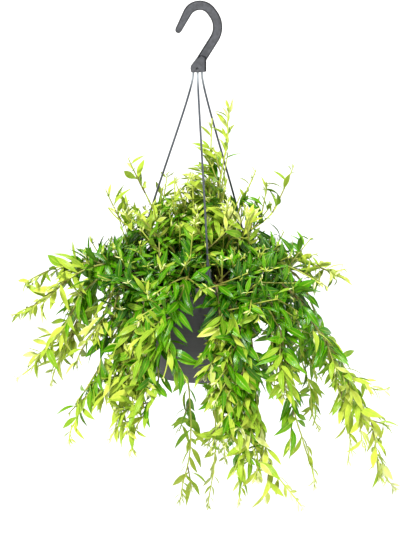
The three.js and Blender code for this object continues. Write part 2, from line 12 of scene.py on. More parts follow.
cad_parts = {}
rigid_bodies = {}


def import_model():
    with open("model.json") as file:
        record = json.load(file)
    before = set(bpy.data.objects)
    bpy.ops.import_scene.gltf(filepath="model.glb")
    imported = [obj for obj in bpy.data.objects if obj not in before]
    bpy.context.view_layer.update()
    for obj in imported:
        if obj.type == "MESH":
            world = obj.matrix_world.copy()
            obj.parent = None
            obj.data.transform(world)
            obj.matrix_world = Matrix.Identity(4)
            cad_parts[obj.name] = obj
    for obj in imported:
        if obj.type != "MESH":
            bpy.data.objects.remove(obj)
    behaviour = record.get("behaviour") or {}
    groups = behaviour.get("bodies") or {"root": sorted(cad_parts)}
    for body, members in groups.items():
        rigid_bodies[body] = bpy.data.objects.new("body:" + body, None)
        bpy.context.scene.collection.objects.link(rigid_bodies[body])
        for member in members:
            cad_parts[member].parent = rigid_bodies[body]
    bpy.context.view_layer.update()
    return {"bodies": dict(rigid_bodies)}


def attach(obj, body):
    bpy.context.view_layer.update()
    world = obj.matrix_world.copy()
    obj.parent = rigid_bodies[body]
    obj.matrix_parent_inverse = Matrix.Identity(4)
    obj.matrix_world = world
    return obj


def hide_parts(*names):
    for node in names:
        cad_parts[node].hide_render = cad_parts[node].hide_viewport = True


bl_info = {
    "name": "Hanging plant",
    "version": (1, 0, 0),
    "blender": (4, 5, 0),
    "location": "View3D > Sidebar > Hanging plant",
    "description": "Makes a trailing plant in a hanging pot, with its hook and strands",
    "category": "Add Mesh",
}

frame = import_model()
BODY = next(iter(frame["bodies"]))

# Sizes below are in millimetres, with +Z up, the front facing -Y and the origin inside the top of the hook
MM = 0.001
UP = Vector((0, 0, 1))

# Pot and soil
RIM_Z = -301
POT_HEIGHT = 116
BASE_Z = RIM_Z - POT_HEIGHT
RIM_RADIUS = 77
RIM_BAND = 6
BAND_WALL = 1.6
BASE_RADIUS = 57
NECK_RADIUS = 71.4
WALL = 2
CUT_DEPTH = 4 * WALL
DRAIN_HOLES = 6
DRAIN_RADIUS = 4
DRAIN_CIRCLE = 40
DRAIN_SIDES = 24
SLOT_WIDTH = 8
SLOT_THICKNESS = 2.6
SHARP_POT_EDGE = 32
SIDE_RINGS = (0.33, 0.66)

# Roundings of the pot's edges: steps in radius and height from the sharp corner
BASE_EDGE = ((-3, 0), (-1.1, 0.4), (0, 2))
BAND_INNER_EDGE = ((0, 0.3), (0.3, 0))
BAND_OUTER_EDGE = ((-0.4, 0), (0, 0.4))
RIM_OUTER_EDGE = ((0, -1), (-0.35, -0.35), (-1, 0))
RIM_INNER_EDGE = ((0.5, 0), (0, -0.5))
FLOOR_EDGE = ((0.6, 3), (-1.5, 0))

SOIL_TOP_Z = RIM_Z - 12
SOIL_EDGE = 2
SOIL_SHOULDER = 6
SOIL_FOOT_EDGE = 2
SOIL_RINGS = 22
SOIL_SIDES = 96
SHARP_SOIL_EDGE = 50
FIT_GAP = 0.35

# Roughness of the soil's top: lumps to a millimetre, their strength, the highest one and how far all sinks
LUMPS = 0.09
LUMP_STRENGTH = 1.2
LUMP_LIMIT = 1.0
LUMP_SINK = 0.4

# Crumbs: least and most of their three sizes, the least upward share of a face they lie on, and their seed
CRUMB_LEAST = (0.35, 0.25, 0.15)
CRUMB_MOST = (1, 0.8, 0.45)
CRUMB_UPWARD = 0.6
CRUMB_SEED = 4

# The hook's centre line runs from its free tip over the crown to the block, with filleted corners
HOOK_TIP = (-21.8, -22.3)
HOOK_CORNERS = (((0, 19.2), 15.6), ((26.9, -18.2), 24.5))
HOOK_END = (1.4, -59)
HOOK_STEPS = 70
FILLET_STEPS = 40
HOOK_TIP_WIDTH = 7.2
HOOK_SHANK_WIDTH = 10.5
HOOK_TIP_TAPER = 0.25
HOOK_DEPTH = 7.2
HOOK_SIDES = 48
HOOK_ROUNDNESS = 0.8

# Shallow groove along the hook's front and back: its depth, where across it ends and how softly
HOOK_GROOVE = 0.2
GROOVE_END = 0.66
GROOVE_BLEND = 0.16

# Rounded end of the tip: each ring's size and its place along the line
TIP_RINGS = ((0.25, -3.4), (0.55, -3.0), (0.8, -2.0), (0.94, -0.9))

# The block, with its front right corner rounded most
BLOCK_RIGHT = 9.4
BLOCK_FLOOR_Z = -68.5
BLOCK_OUTLINE = (
    (-8.3, -63.4),
    (-7.6, BLOCK_FLOOR_Z),
    (BLOCK_RIGHT, BLOCK_FLOOR_Z),
    (BLOCK_RIGHT, -52.6),
    (4, -50.4),
    (-1.6, -54.4),
)
BLOCK_DEPTH = 14
BLOCK_ROUNDING = 3.6
BLOCK_EDGE = 0.8
SOCKET_DEPTH = 5
SOCKET_RADIUS = 1.7
DIMPLE = (-0.9, -64.8)
DIMPLE_RADIUS = 1.6
DIMPLE_RISE = 0.5
MOULD_GRAIN = 0.55
MOULD_PASSES = 3

# Strands: each has its azimuth at the rim and the place of its socket under the block
STRANDS = (("front", 9, (-0.3, -4)), ("right", 129, (4.5, 2)), ("left", -111, (-5.3, 2)))
STRAND_RADIUS = 1.2
STRAND_CIRCLE = 73.4
STRAND_STRAIGHT = 3
STRAND_HANDLE = 24
STRAND_STEPS = 48
STRAND_SIDES = 20
SHARP_STRAND_EDGE = 40
CURVE_STEPS = 60
SEAT_RISE = 9
SEAT_HANDLE = 42
SEAT_LEAN = 3
SEAT_STEPS = 6

# The strand's flat tongue with its window, and the foot that sits in the rim's slot
TONGUE_WIDTH = 7
TONGUE_THICKNESS = 1.6
TONGUE_LENGTH = 34
TONGUE_FLARE = 22
WINDOW_WIDTH = 3.8
WINDOW_SPAN = (3, 20)
FOOT_SIZE = (5.3, 3, 4.5)
FOOT_DROP = 8
FOOT_REACH = 0.4
FOOT_EDGE = 0.6

# Stems: depth of the root in the soil, and steps of the line
STEM_SINK = 9
STEM_STEPS = 160

# Handles of a stem's curve: how far up its rise, how far from the crest, and how far out on a crown stem
RISE_HANDLE = 0.75
CREST_HANDLE = 0.45
CROWN_HANDLE = 0.18

# Sway of a stem's azimuth in degrees, and its waves to a stem
SWAY = 2.6
WAVES = 1.4

# How far a stem wanders from its curve, how soon, the length of a bend and the seed
WANDER = 6
WANDER_GROWTH = 1.5
WANDER_LENGTH = 45
NOISE_SEED = 6

# Bend of the last part of a stem: where it starts, its reach on trailing and crown stems, and its growth
BEND_START = 0.86
TIP_BEND = 9
CROWN_TIP_BEND = 3
BEND_GROWTH = 40

# Kinds of stem: drop of a sparse tip, rise of a tall and of a low tip, and the place of a front stem
SPARSE_DROP = 270
TALL_CROWN = 150
LOW_CROWN = 100
FRONT_STEM = -78

# What is taken off a stem's drawn freshness, in the crown and in the skirt
CROWN_STALENESS = 0.38
SKIRT_STALENESS = 0.55

# Nodes of a stem, closer together towards the tip, and the pairs of leaves to each
FIRST_LEAF = 22
LEAF_PITCH = 29
LAST_LEAF = 4
NODE_CLOSING = 0.5
NODE_LEAST = 0.9
NODE_VARIETY = 0.2
PAIRS_TO_NODE = 3
SPARSE_PAIRS = 2
THIN_FROM = 0.66
LEAF_LOSS = 0.1

# How a leaf stands: its light, tilt, roll, spread in degrees, and the turn between one pair and the next
LIGHT_UP = 0.8
LIGHT_OUT = 0.6
LEAF_TILT = 1.0
LEAF_ROLL = 1.5
LEAF_ROLL_BIAS = 0.4
SPREAD_OLD = 72
SPREAD_YOUNG = 64
SPREAD_VARIETY = 34
CROWN_SPREAD = 0.86
CROSSING = math.pi / 2
TRAILING_CROSSING = 0.45

# How much a leaf droops: at the root and further on, the share that reaches this, and the span of the draw
DROOP = (0.08, 0.62)
DROOP_SHARE = 0.7
DROOP_VARIETY = (0.2, 1.9)
CROWN_DROOP = -0.3

# How large a leaf is: the span of the draw, the part left at the tip, and the power that brings it there
LEAST_LEAF = 0.78
MOST_LEAF = 1.14
TIP_LEAF = 0.24
TIP_POWER = 5
CROWN_TIP_POWER = 3
TALL_TIP_LEAF = 0.34
CROWN_LEAF = 0.9
LEAF_WIDTHS = (0.78, 1.1)
TIP_WIDTH = 0.8
CROWN_WIDTH = 0.86

# Each form is how far the tip swings sideways and how strongly it curls down. A draw of a form stays below 1.
LEAF_FORMS = ((0.13, 1.0), (-0.13, 0.7), (0.0, 1.6), (0.07, 0.3), (-0.08, 2.3))
BELOW_ONE = 0.9999

# Shares of a leaf's length that are tested for room, and the room kept at its root and its tip
LEAF_TESTS = (0.25, 0.5, 0.75, 1)
LEAF_ROOM = (4, 1)

# Extra roll and spread that a leaf tries in turn until it is clear of the pot and the strands
DODGES = (
    (0, 0),
    (0.35, 0),
    (-0.35, 0),
    (0.7, -0.2),
    (-0.7, -0.2),
    (0, -0.4),
    (1.1, 0),
    (-1.1, 0),
    (1.8, -0.3),
)

# How young a leaf looks, from 0 for the deepest green to 1 for the palest, by its share of the stem
YOUTH = (-0.1, 0.96)
YOUTH_POWER = 1.15
FRESHNESS = (0.2, 0.6)
YOUTH_LIMIT = (0.7, 1.1)
PALE_TIP = 0.86
PALE_SPAN = 0.14
LOW_YOUTH = 0.72
YOUTH_RISE = 20
YOUTH_RISE_SPAN = 70

# Small pairs at the tip of a stem: how far back they stand and their part of a full leaf's length
TUFT = ((8, 0.34), (4, 0.27), (1, 0.18))
TWIG_TUFT = TUFT[1:]
TUFT_SPREAD = 58
TUFT_SEED = 900
TUFT_YOUTH = 0.95
TWIG_TUFT_YOUTH = 0.7
TWIG_TUFT_GAIN = 0.3
TALL_TUFT = 0.6

# Twigs of each kind of stem: their number and the shares of the stem's length that they start between
TWIG_SEED = 40
TWIGS = (9, 0.06, 0.84)
FRONT_TWIGS = (15, 0.06, 0.84)
SPARSE_TWIGS = (4, 0.3, 0.86)

# On crown stems that share ends higher the further the tip reaches out
CROWN_TWIGS_END = (0.54, 0.88)
CROWN_REACH = 30
CROWN_REACH_SPAN = 40

# Hanging twigs: the share that they hang from, their lean with the draw that parts its sides, and their rise
HANG_FROM = 0.4
LEAN = (0.5, 0.5)
FRONT_HANG_FROM = 0.3
FRONT_LEAN = (1.25, 0.8)
TWIG_OUT = 0.3
HANGING_RISE = (-0.35, 0.1)

# Rising twigs: how far they go along the stem, sideways, off it and up, and their rise
TWIG_ALONG = 0.5
TWIG_SIDEWAYS = 0.8
TWIG_OFF = 0.5
TWIG_UP = 0.6
CROWN_TWIG_UP = 1.05
STANDING_RISE = (-0.1, 0.3)

# Shares of a twig's length along its own direction and along its rise, for each corner of its curve
TWIG_CURVE = ((0, 0), (0.35, 0), (0.7, 0.5), (0.95, 1))
TWIG_LENGTHS = (28, 56)
OUTER_TWIG = 0.74
TWIG_STEPS = 24

# The step from which a twig keeps out of the pot, with its room, and out of the openings
TWIG_FREE_FROM = 4
TWIG_ROOM = 3
TWIG_SEEN_FROM = 8

# Leaves of a twig, and how young they look
TWIG_FIRST = 7
TWIG_PITCH = 10.5
TWIG_LEAF = 0.9
OUTER_TWIG_LEAF = 0.88
TWIG_AGE = 0.82
CROWN_TWIG_AGE = 0.78
TWIG_YOUTH = 0.7
TWIG_FRESHNESS = 0.25
TWIG_FRESHNESS_BIAS = 0.3

# Rings of a stem: their spacing, the least gap, and the place and swelling of those round a node
RING_SPACING = 6
CLOSEST_RINGS = 0.9
NODE_RINGS = ((-2.2, 0.0), (0, 1.0), (2.0, 0.0))
NODE_SWELL = 0.32
TAPER_POWER = 0.8
CROWN_ROOT_AGE = 0.4

# Rings of a twig, its thickness by the stem's tip, and the age of its skin
TWIG_RINGS = 10
TWIG_THICKNESS = (1.5, 0.8)
TWIG_SKIN = (0.2, 0.8)

# The leaf's outline: share of its length and of its half width
LEAF_OUTLINE = (
    (0, 0.1),
    (0.1, 0.24),
    (0.28, 0.74),
    (0.45, 1),
    (0.62, 0.93),
    (0.8, 0.58),
    (0.93, 0.22),
    (1, 0.02),
)
LEAF_SIDES = 8
LEAF_SEGMENTS = 7
UPPER_FULLNESS = 0.45
SHARP_LEAF_EDGE = 1.1

# Limits of the leaves towards the front and the back
FRONT_LIMIT = -149
BACK_LIMIT = 172

# Line of the gap among the leaves through which the soil shows, and its radius
SOIL_GAP = (Vector((27, 40, -316)), Vector((25, -110, -279)))
SOIL_GAP_RADIUS = 12

# The camera, its directions up and along the view, and its distance from the pot's axis
EYE = Vector((2.3, -2200, 256))
VIEW_UP = Vector((0, 0.247, 0.969))
VIEW_ALONG = Vector((0, 0.969, -0.247))
VIEW_DISTANCE = 2270

# Side strands that stay in sight: their number, lowest height in the picture and the room before them
SEEN_STRANDS = ((1, -246, 3.2), (2, -231, 3.2))

# Round openings among the leaves: place across and up in the picture, and radius, at the pot's axis
OPENINGS = (
    (71, -82, 9),
    (82, -157, 16),
    (87, -191, 13),
    (25, -226, 9),
    (115, -219, 12),
    (-46, -157, 13),
    (11, -166, 11),
    (2, -141, 8),
    (-42, -106, 10),
    (-12, -112, 7),
    (-109, -162, 10),
    (115, -178, 8),
    (113, 0, 8),
    (-80, 98, 8),
    (66, 104, 8),
    (-126, -103, 11),
    (145, -32, 12),
    (149, -57, 10),
    (161, -20, 10),
    (-57, 119, 10),
    (-66, 89, 9),
    (46, 106, 8),
)

# Studio floor in metres: flat within its radius, then curved up all round
FLOOR_RADIUS = 8
FLOOR_BEND = 16
FLOOR_RISE = 60
FLOOR_RINGS = 13
FLOOR_SIDES = 96

# Suns: azimuth, elevation and apparent width in degrees, and strength by the key light
SUNS = (
    ("key_sun", -28, 52, 14, 1),
    ("fill_sun", 62, 34, 40, 0.3),
    ("back_sun", 170, 48, 30, 0.45),
)

# Trailing shoots rise from the soil, crest over the rim and hang. Heights are over the rim.
# Each row: azimuth, root radius, crest radius, crest, tip radius, tip, last handle's rise and inset, turn
TRAILING = (
    (-92, 34, 92, 14, 196, -12, 20, 30, 4),
    (-84, 40, 86, 12, 210, -48, 36, 50, 3),
    (-78, 44, 84, 9, 206, -124, 64, 60, -4),
    (-97, 40, 84, 10, 184, -142, 70, 50, -2),
    (-69, 48, 81, 8, 150, -96, 60, 40, 0),
    (-60, 50, 80, 7, 176, -180, 74, 66, 0),
    (-36, 50, 80, 6, 130, -168, 100, 14, -12),
    (-20, 50, 80, 6, 126, -182, 100, 12, -14),
    (-52, 50, 81, 8, 112, -118, 60, 2, 0),
    (-9, 40, 82, 14, 128, -82, 60, 8, -9),
    (-44, 46, 80, 6, 116, -134, 80, 4, 2),
    (176, 50, 82, 9, 94, -314, 150, 2, -10),
    (20, 50, 80, 7, 112, -118, 70, 4, 4),
    (14, 44, 80, 6, 128, -240, 130, 8, 11),
    (25, 52, 80, 6, 136, -204, 110, 12, 3),
    (31, 44, 80, 7, 162, -250, 80, 50, 11),
    (41, 52, 80, 7, 148, -100, 60, 20, 7),
    (48, 48, 80, 7, 154, -232, 110, 16, 12),
    (66, 46, 82, 9, 190, -206, 100, 12, 7),
    (58, 46, 82, 9, 224, -250, 110, 4, 20),
    (84, 42, 84, 10, 226, -142, 16, 100, 2),
    (96, 30, 94, 14, 172, -4, 4, 50, 0),
    (78, 32, 88, 18, 146, -6, 14, 30, 0),
    (107, 44, 84, 9, 182, -152, 60, 66, 0),
    (118, 50, 80, 6, 160, -222, 120, 14, 0),
    (133, 50, 80, 6, 140, -164, 90, 12, 0),
    (146, 42, 80, 7, 176, -120, 70, 12, 0),
    (157, 50, 80, 6, 116, -190, 100, 6, 0),
    (167, 44, 80, 7, 118, -280, 140, 8, 0),
    (185, 50, 82, 9, 98, -324, 150, 4, 4),
    (195, 42, 80, 8, 164, -96, 60, 14, 0),
    (212, 50, 80, 6, 150, -196, 110, 8, 0),
    (219, 46, 80, 8, 170, -140, 80, 30, 0),
    (238, 42, 84, 12, 176, -60, 40, 40, 0),
    (256, 44, 82, 9, 168, -116, 70, 40, -5),
)

# Crown shoots stand up or arch over the soil. Heights are over the rim.
# Each row: azimuth, root radius, first handle's height, tip radius, tip, last handle's rise and inset, turn
CROWN = (
    (90, 22, 60, 92, 88, -40, 20, 0),
    (104, 20, 80, 66, 122, -54, 10, 0),
    (62, 14, 90, 42, 204, -84, 4, 0),
    (100, 8, 90, 14, 182, -70, 2, 0),
    (-30, 10, 80, 12, 120, -50, 2, 0),
    (-70, 14, 70, 26, 112, -50, 2, 0),
    (-90, 22, 60, 72, 114, -50, 24, 0),
    (-86, 30, 50, 104, 80, -30, 30, 0),
    (-40, 28, 70, 78, 16, 40, 20, 0),
    (10, 26, 80, 66, 16, 44, 16, 0),
    (50, 28, 76, 84, 26, 30, 20, 0),
    (152, 22, 70, 62, 84, -30, 14, 0),
    (196, 16, 80, 40, 110, -50, 6, 0),
    (232, 24, 60, 84, 70, -20, 20, 0),
    (176, 30, 60, 96, 34, 20, 20, 0),
    (-8, 20, 70, 44, 62, 0, 10, 0),
    (34, 22, 70, 56, 66, -10, 10, 0),
    (-66, 28, 64, 92, 78, -20, 26, 0),
)


# Small sums

def lerp(a, b, t):
    """Value at a share of the way from one to another."""
    return a + (b - a) * t


def smooth(t):
    """Share from 0 to 1, eased at both ends."""
    t = min(max(t, 0), 1)
    return t * t * (3 - 2 * t)


def outward(azimuth):
    """Level direction away from the pot's axis at an azimuth in degrees."""
    angle = math.radians(azimuth)
    return Vector((math.sin(angle), -math.cos(angle), 0))


def chance(a, b, c):
    """Whole-number hash to a value from 0 to 1, the same each time for the same three numbers."""
    mask = 0xFFFFFFFF
    h = ((a + 1) * 374761393 ^ (b + 1) * 668265263 ^ (c + 1) * 1442695041) & mask
    h = ((h ^ (h >> 13)) * 1274126177) & mask
    h ^= h >> 16
    return h / 4294967296


def bezier(corners, t):
    """Point of a cubic curve through its first and last corner."""
    a, b, c, d = corners
    s = 1 - t
    return a * s**3 + b * (3 * s * s * t) + c * (3 * s * t * t) + d * t**3


# Node trees

class Graph:
    """Adds nodes to a tree and joins them. An input is fed a value, or the output that drives it."""

    def __init__(self, tree):
        self.tree = tree

    def feed(self, socket, value):
        if isinstance(value, bpy.types.NodeSocket):
            self.tree.links.new(value, socket)
        else:
            socket.default_value = value

    def feed_in_order(self, node, values):
        for socket, value in zip(node.inputs, values):
            self.feed(socket, value)
        return node

    def add(self, kind, inputs=None, **settings):
        node = self.tree.nodes.new(kind)
        for name, value in settings.items():
            setattr(node, name, value)
        for name, value in (inputs or {}).items():
            self.feed(node.inputs[name], value)
        return node

    def maths(self, operation, *values):
        return self.feed_in_order(self.add("ShaderNodeMath", operation=operation), values).outputs[0]

    def vectors(self, operation, *values, output="Vector"):
        node = self.feed_in_order(self.add("ShaderNodeVectorMath", operation=operation), values)
        return node.outputs[output]

    def scaled(self, vector, scale):
        inputs = {"Scale": scale}
        node = self.add("ShaderNodeVectorMath", inputs, operation="SCALE")
        return self.feed_in_order(node, [vector]).outputs[0]

    def plus(self, a, b):
        return self.maths("ADD", a, b)

    def minus(self, a, b):
        return self.maths("SUBTRACT", a, b)

    def times(self, a, b):
        return self.maths("MULTIPLY", a, b)

    def around(self, value, middle, by):
        """How far a value lies from its middle, times a factor."""
        return self.times(self.minus(value, middle), by)

    def noise(self, vector, scale, detail=3.0, roughness=0.5):
        inputs = {"Vector": vector, "Scale": scale, "Detail": detail, "Roughness": roughness}
        return self.add("ShaderNodeTexNoise", inputs).outputs["Fac"]

    def span(self, value, low, high, to_low=0.0, to_high=1.0, smoothly=False):
        """Value brought from one span to another, held at its ends."""
        kind = "SMOOTHSTEP" if smoothly else "LINEAR"
        inputs = {"Value": value, "From Min": low, "From Max": high, "To Min": to_low, "To Max": to_high}
        return self.add("ShaderNodeMapRange", inputs, interpolation_type=kind).outputs["Result"]


class Shape(Graph):
    """A Geometry Nodes tree with named inputs of each kind, and one geometry as its output."""

    def __init__(self, name, **inputs):
        super().__init__(bpy.data.node_groups.new(name, "GeometryNodeTree"))
        sockets = self.tree.interface
        for kind, labels in inputs.items():
            for label in labels:
                sockets.new_socket(name=label, in_out="INPUT", socket_type="NodeSocket" + kind)
        sockets.new_socket(name="Geometry", in_out="OUTPUT", socket_type="NodeSocketGeometry")
        self.given = self.add("NodeGroupInput").outputs

    def read(self, name, kind="FLOAT"):
        """Named attribute of the geometry."""
        node = self.add("GeometryNodeInputNamedAttribute", {"Name": name}, data_type=kind)
        return node.outputs["Attribute"]

    def store(self, geometry, name, value, domain):
        """Geometry with a number stored on it under a name."""
        inputs = {"Geometry": geometry, "Name": name, "Value": value}
        node = self.add("GeometryNodeStoreNamedAttribute", inputs, data_type="FLOAT", domain=domain)
        return node.outputs[0]

    def drawn(self, low, high):
        """Vector drawn at random between two."""
        node = self.add("FunctionNodeRandomValue", data_type="FLOAT_VECTOR")
        return self.feed_in_order(node, (low, high)).outputs[0]

    def sweep(self, points, radius):
        """Rod with capped ends along a line of points, with a radius at each."""
        line = self.add("GeometryNodeMeshToCurve", {"Mesh": points}).outputs[0]
        inputs = {"Resolution": self.given["Sides"], "Radius": 1.0}
        ring = self.add("GeometryNodeCurvePrimitiveCircle", inputs).outputs[0]
        inputs = {"Curve": line, "Profile Curve": ring, "Scale": radius, "Fill Caps": True}
        return self.add("GeometryNodeCurveToMesh", inputs).outputs[0]

    def joined(self, *geometries):
        node = self.add("GeometryNodeJoinGeometry")
        for geometry in geometries:
            self.feed(node.inputs[0], geometry)
        return node.outputs[0]

    def realized(self, geometry, material):
        """Real geometry, with no instances left, in a material."""
        real = self.add("GeometryNodeRealizeInstances", {"Geometry": geometry}).outputs[0]
        return self.add("GeometryNodeSetMaterial", {"Geometry": real, "Material": material}).outputs[0]

    def ended(self, geometry):
        """The tree, with its output given."""
        self.feed(self.add("NodeGroupOutput").inputs["Geometry"], geometry)
        return self.tree


class Finish(Graph):
    """A material with its Principled shader, and short ways to what finishes are made of."""

    def __init__(self, name):
        self.material = bpy.data.materials.new(name)
        self.material.use_nodes = True
        super().__init__(self.material.node_tree)
        self.shader = next(n for n in self.tree.nodes if n.type == "BSDF_PRINCIPLED")
        coordinates = self.add("ShaderNodeTexCoord").outputs
        self.place, self.skin = coordinates["Object"], coordinates["Normal"]

    def set(self, name, value):
        self.feed(self.shader.inputs[name], value)

    def attribute(self, name):
        return self.add("ShaderNodeAttribute", attribute_name=name).outputs["Fac"]

    def stretched(self, scale):
        return self.add("ShaderNodeMapping", {"Vector": self.place, "Scale": scale}).outputs["Vector"]

    def ramp(self, value, stops):
        node = self.add("ShaderNodeValToRGB", {"Fac": value})
        elements = node.color_ramp.elements
        while len(elements) < len(stops):
            elements.new(1.0)
        for element, (at, colour) in zip(elements, stops):
            element.position = at
            element.color = (*colour, 1)
        return node.outputs["Color"]

    def mix(self, factor, a, b):
        node = self.add("ShaderNodeMix", data_type="RGBA")
        for index, value in ((0, factor), (6, a), (7, b)):
            self.feed(node.inputs[index], value)
        return node.outputs[2]

    def bump(self, height, strength, distance):
        inputs = {"Height": height, "Strength": strength, "Distance": distance * MM}
        self.set("Normal", self.add("ShaderNodeBump", inputs).outputs["Normal"])


def rgba(colour):
    """Colour with full cover."""
    return (*colour, 1)


def shade(colour, by):
    """Colour made darker or lighter by a factor."""
    return tuple(min(part * by, 1) for part in colour)


# Finishes

def pot_finish(colour):
    """Matte moulded plastic with faint level streaks."""
    f = Finish("pot_plastic")
    streaks = f.noise(f.stretched((9, 9, 420)), scale=1, detail=4, roughness=0.6)
    clouds = f.noise(f.place, scale=22, detail=3)
    tone = f.plus(f.times(streaks, 0.7), f.times(clouds, 0.3))
    f.set("Base Color", f.ramp(tone, ((0.3, shade(colour, 0.82)), (0.7, shade(colour, 1.2)))))
    f.set("Roughness", f.span(streaks, 0.3, 0.7, 0.52, 0.68))
    grain = f.noise(f.place, scale=900, detail=2)
    f.bump(f.plus(streaks, f.times(grain, 0.4)), strength=0.35, distance=0.3)
    return f.material


def hook_finish(colour):
    """Satin moulded plastic, a little mottled, with painted shade darkening its rounded sides."""
    f = Finish("hook_plastic")
    mottle = f.noise(f.place, scale=240, detail=4, roughness=0.65)
    tinted = f.ramp(mottle, ((0.38, shade(colour, 0.72)), (0.62, shade(colour, 1.35))))
    # Painted shade: where the surface turns sideways, away from the front and back, the colour is darkened
    # towards near black and the specular is cut.
    facing = f.add("ShaderNodeSeparateXYZ", {"Vector": f.skin}).outputs["Y"]
    edge = f.span(f.maths("ABSOLUTE", facing), 0.72, 0.99, 1, 0)
    f.set("Base Color", f.mix(f.times(edge, 0.8), tinted, rgba(shade(colour, 0.1))))
    f.set("Roughness", f.span(mottle, 0.3, 0.7, 0.36, 0.5))
    f.set("Specular IOR Level", f.span(edge, 0, 1, 0.62, 0.04))
    f.bump(mottle, strength=0.5, distance=0.4)
    return f.material


def strand_finish(colour, pale):
    """Drawn plastic cord, with a pale painted highlight where it leaves the block."""
    f = Finish("strand_plastic")
    height = f.add("ShaderNodeSeparateXYZ", {"Vector": f.place}).outputs["Z"]
    streaks = f.noise(f.stretched((900, 900, 30)), scale=1, detail=3)
    tinted = f.ramp(streaks, ((0.3, shade(colour, 0.8)), (0.7, shade(colour, 1.2))))
    top = BLOCK_FLOOR_Z * MM
    # Painted highlight: the cord's colour fades to pale over the last 22 mm below the block.
    f.set("Base Color", f.mix(f.span(height, top - 0.022, top, 0, 0.75, True), tinted, rgba(pale)))
    f.set("Roughness", f.span(streaks, 0.3, 0.7, 0.3, 0.45))
    f.bump(streaks, strength=0.25, distance=0.1)
    return f.material


def soil_finish(dark, light):
    """Damp peat with paler crumbs."""
    f = Finish("peat")
    crumbs = f.noise(f.place, scale=420, detail=5, roughness=0.65)
    lumps = f.noise(f.place, scale=90, detail=3)
    tone = f.plus(f.times(crumbs, 0.6), f.times(lumps, 0.4))
    tone = f.plus(tone, f.times(f.attribute("tone"), 0.35))
    f.set("Base Color", f.ramp(tone, ((0.35, dark), (0.75, light), (0.95, shade(light, 2.4)))))
    f.set("Roughness", f.span(crumbs, 0.3, 0.7, 0.75, 0.98))
    f.bump(crumbs, strength=0.8, distance=1.5)
    return f.material


def stem_finish(bark, green, tip):
    """Stem skin: brown and woody at the root, green further on and pale at the tip."""
    f = Finish("stem_skin")
    young = f.attribute("young")
    blotches = f.noise(f.place, scale=260, detail=4, roughness=0.6)
    age = f.plus(young, f.around(blotches, 0.5, 0.5))
    f.set("Base Color", f.ramp(age, ((0.12, bark), (0.5, green), (0.9, tip))))
    f.set("Roughness", f.span(blotches, 0.3, 0.7, 0.4, 0.6))
    f.bump(blotches, strength=0.4, distance=0.3)
    return f.material


def leaf_finish(foliage):
    """Glossy leaf skin, from deep green to yellow-green by age, with a pale midrib and faint side veins; the
    young and tip colours are partly the leaves' own pale green and partly painted glow of light shining
    through them.
    """
    f = Finish("leaf_skin")
    along, across, under = f.attribute("along"), f.attribute("across"), f.attribute("under")
    young, tone = f.attribute("young"), f.attribute("tone")
    off_rib = f.maths("ABSOLUTE", across)
    age = f.plus(young, f.around(tone, 0.5, 0.3))
    mottle = f.noise(f.place, scale=150, detail=3)
    age = f.plus(age, f.around(mottle, 0.5, 0.22))
    age = f.plus(age, f.times(f.span(off_rib, 0.4, 1, 0, 1, True), 0.05))
    # The young and tip stops hold the leaves' own pale green, whitened as painted glow of light shining
    # through the thin leaves.
    stops = ((0.0, foliage.old), (0.4, foliage.mature), (0.76, foliage.young), (1.04, foliage.tip))
    colour = f.ramp(age, stops)
    slanted = f.minus(f.times(along, 9), f.times(off_rib, 2.4))
    wave = f.maths("ABSOLUTE", f.maths("SINE", f.times(slanted, math.pi)))
    veins = f.minus(1, f.maths("POWER", wave, 6))
    rib = f.span(off_rib, 0.02, 0.2, 1, 0, True)
    colour = f.mix(f.times(rib, 0.3), colour, rgba(shade(foliage.young, 1.1)))
    colour = f.mix(f.times(f.minus(1, veins), 0.1), colour, rgba(foliage.old))
    colour = f.mix(f.times(under, 0.3), colour, rgba(foliage.underside))
    f.set("Base Color", colour)
    f.set("Roughness", f.plus(f.span(mottle, 0.3, 0.7, 0.15, 0.27), f.times(under, 0.2)))
    relief = f.minus(f.times(veins, 0.35), rib)
    f.bump(relief, strength=0.35, distance=0.4)
    f.set("Specular IOR Level", f.span(age, 0.1, 0.6, 0.27, 0.06))
    return f.material


def floor_finish(colour):
    """Pale seamless studio floor."""
    f = Finish("studio_floor")
    cloud = f.noise(f.place, scale=1.5, detail=2)
    f.set("Base Color", f.ramp(cloud, ((0.3, shade(colour, 0.98)), (0.7, colour))))
    f.set("Roughness", f.span(cloud, 0.3, 0.7, 0.8, 0.95))
    return f.material


# Meshes

def mesh_from(bm, name, smooth_angle=None, unit=MM):
    """Mesh in metres from a bmesh, smooth except at edges sharper than an angle in degrees."""
    bmesh.ops.recalc_face_normals(bm, faces=bm.faces)
    for face in bm.faces:
        face.smooth = smooth_angle is not None
    if smooth_angle is not None:
        for edge in bm.edges:
            edge.smooth = len(edge.link_faces) == 2 and edge.calc_face_angle() < math.radians(smooth_angle)
    bmesh.ops.scale(bm, vec=(unit,) * 3, verts=bm.verts)
    mesh = bpy.data.meshes.new(name)
    bm.to_mesh(mesh)
    bm.free()
    return mesh


def bmesh_of(mesh):
    """Bmesh in millimetres of a mesh in metres."""
    bm = bmesh.new()
    bm.from_mesh(mesh)
    bmesh.ops.scale(bm, vec=(1 / MM,) * 3, verts=bm.verts)
    return bm


def add_object(name, mesh):
    thing = bpy.data.objects.new(name, mesh)
    bpy.context.scene.collection.objects.link(thing)
    return thing


def settled(thing, name):
    """Plain mesh of an object with its modifiers applied. The object itself is removed."""
    evaluated = thing.evaluated_get(bpy.context.evaluated_depsgraph_get())
    mesh = bpy.data.meshes.new_from_object(evaluated)
    mesh.name = name
    bpy.data.objects.remove(thing)
    return mesh


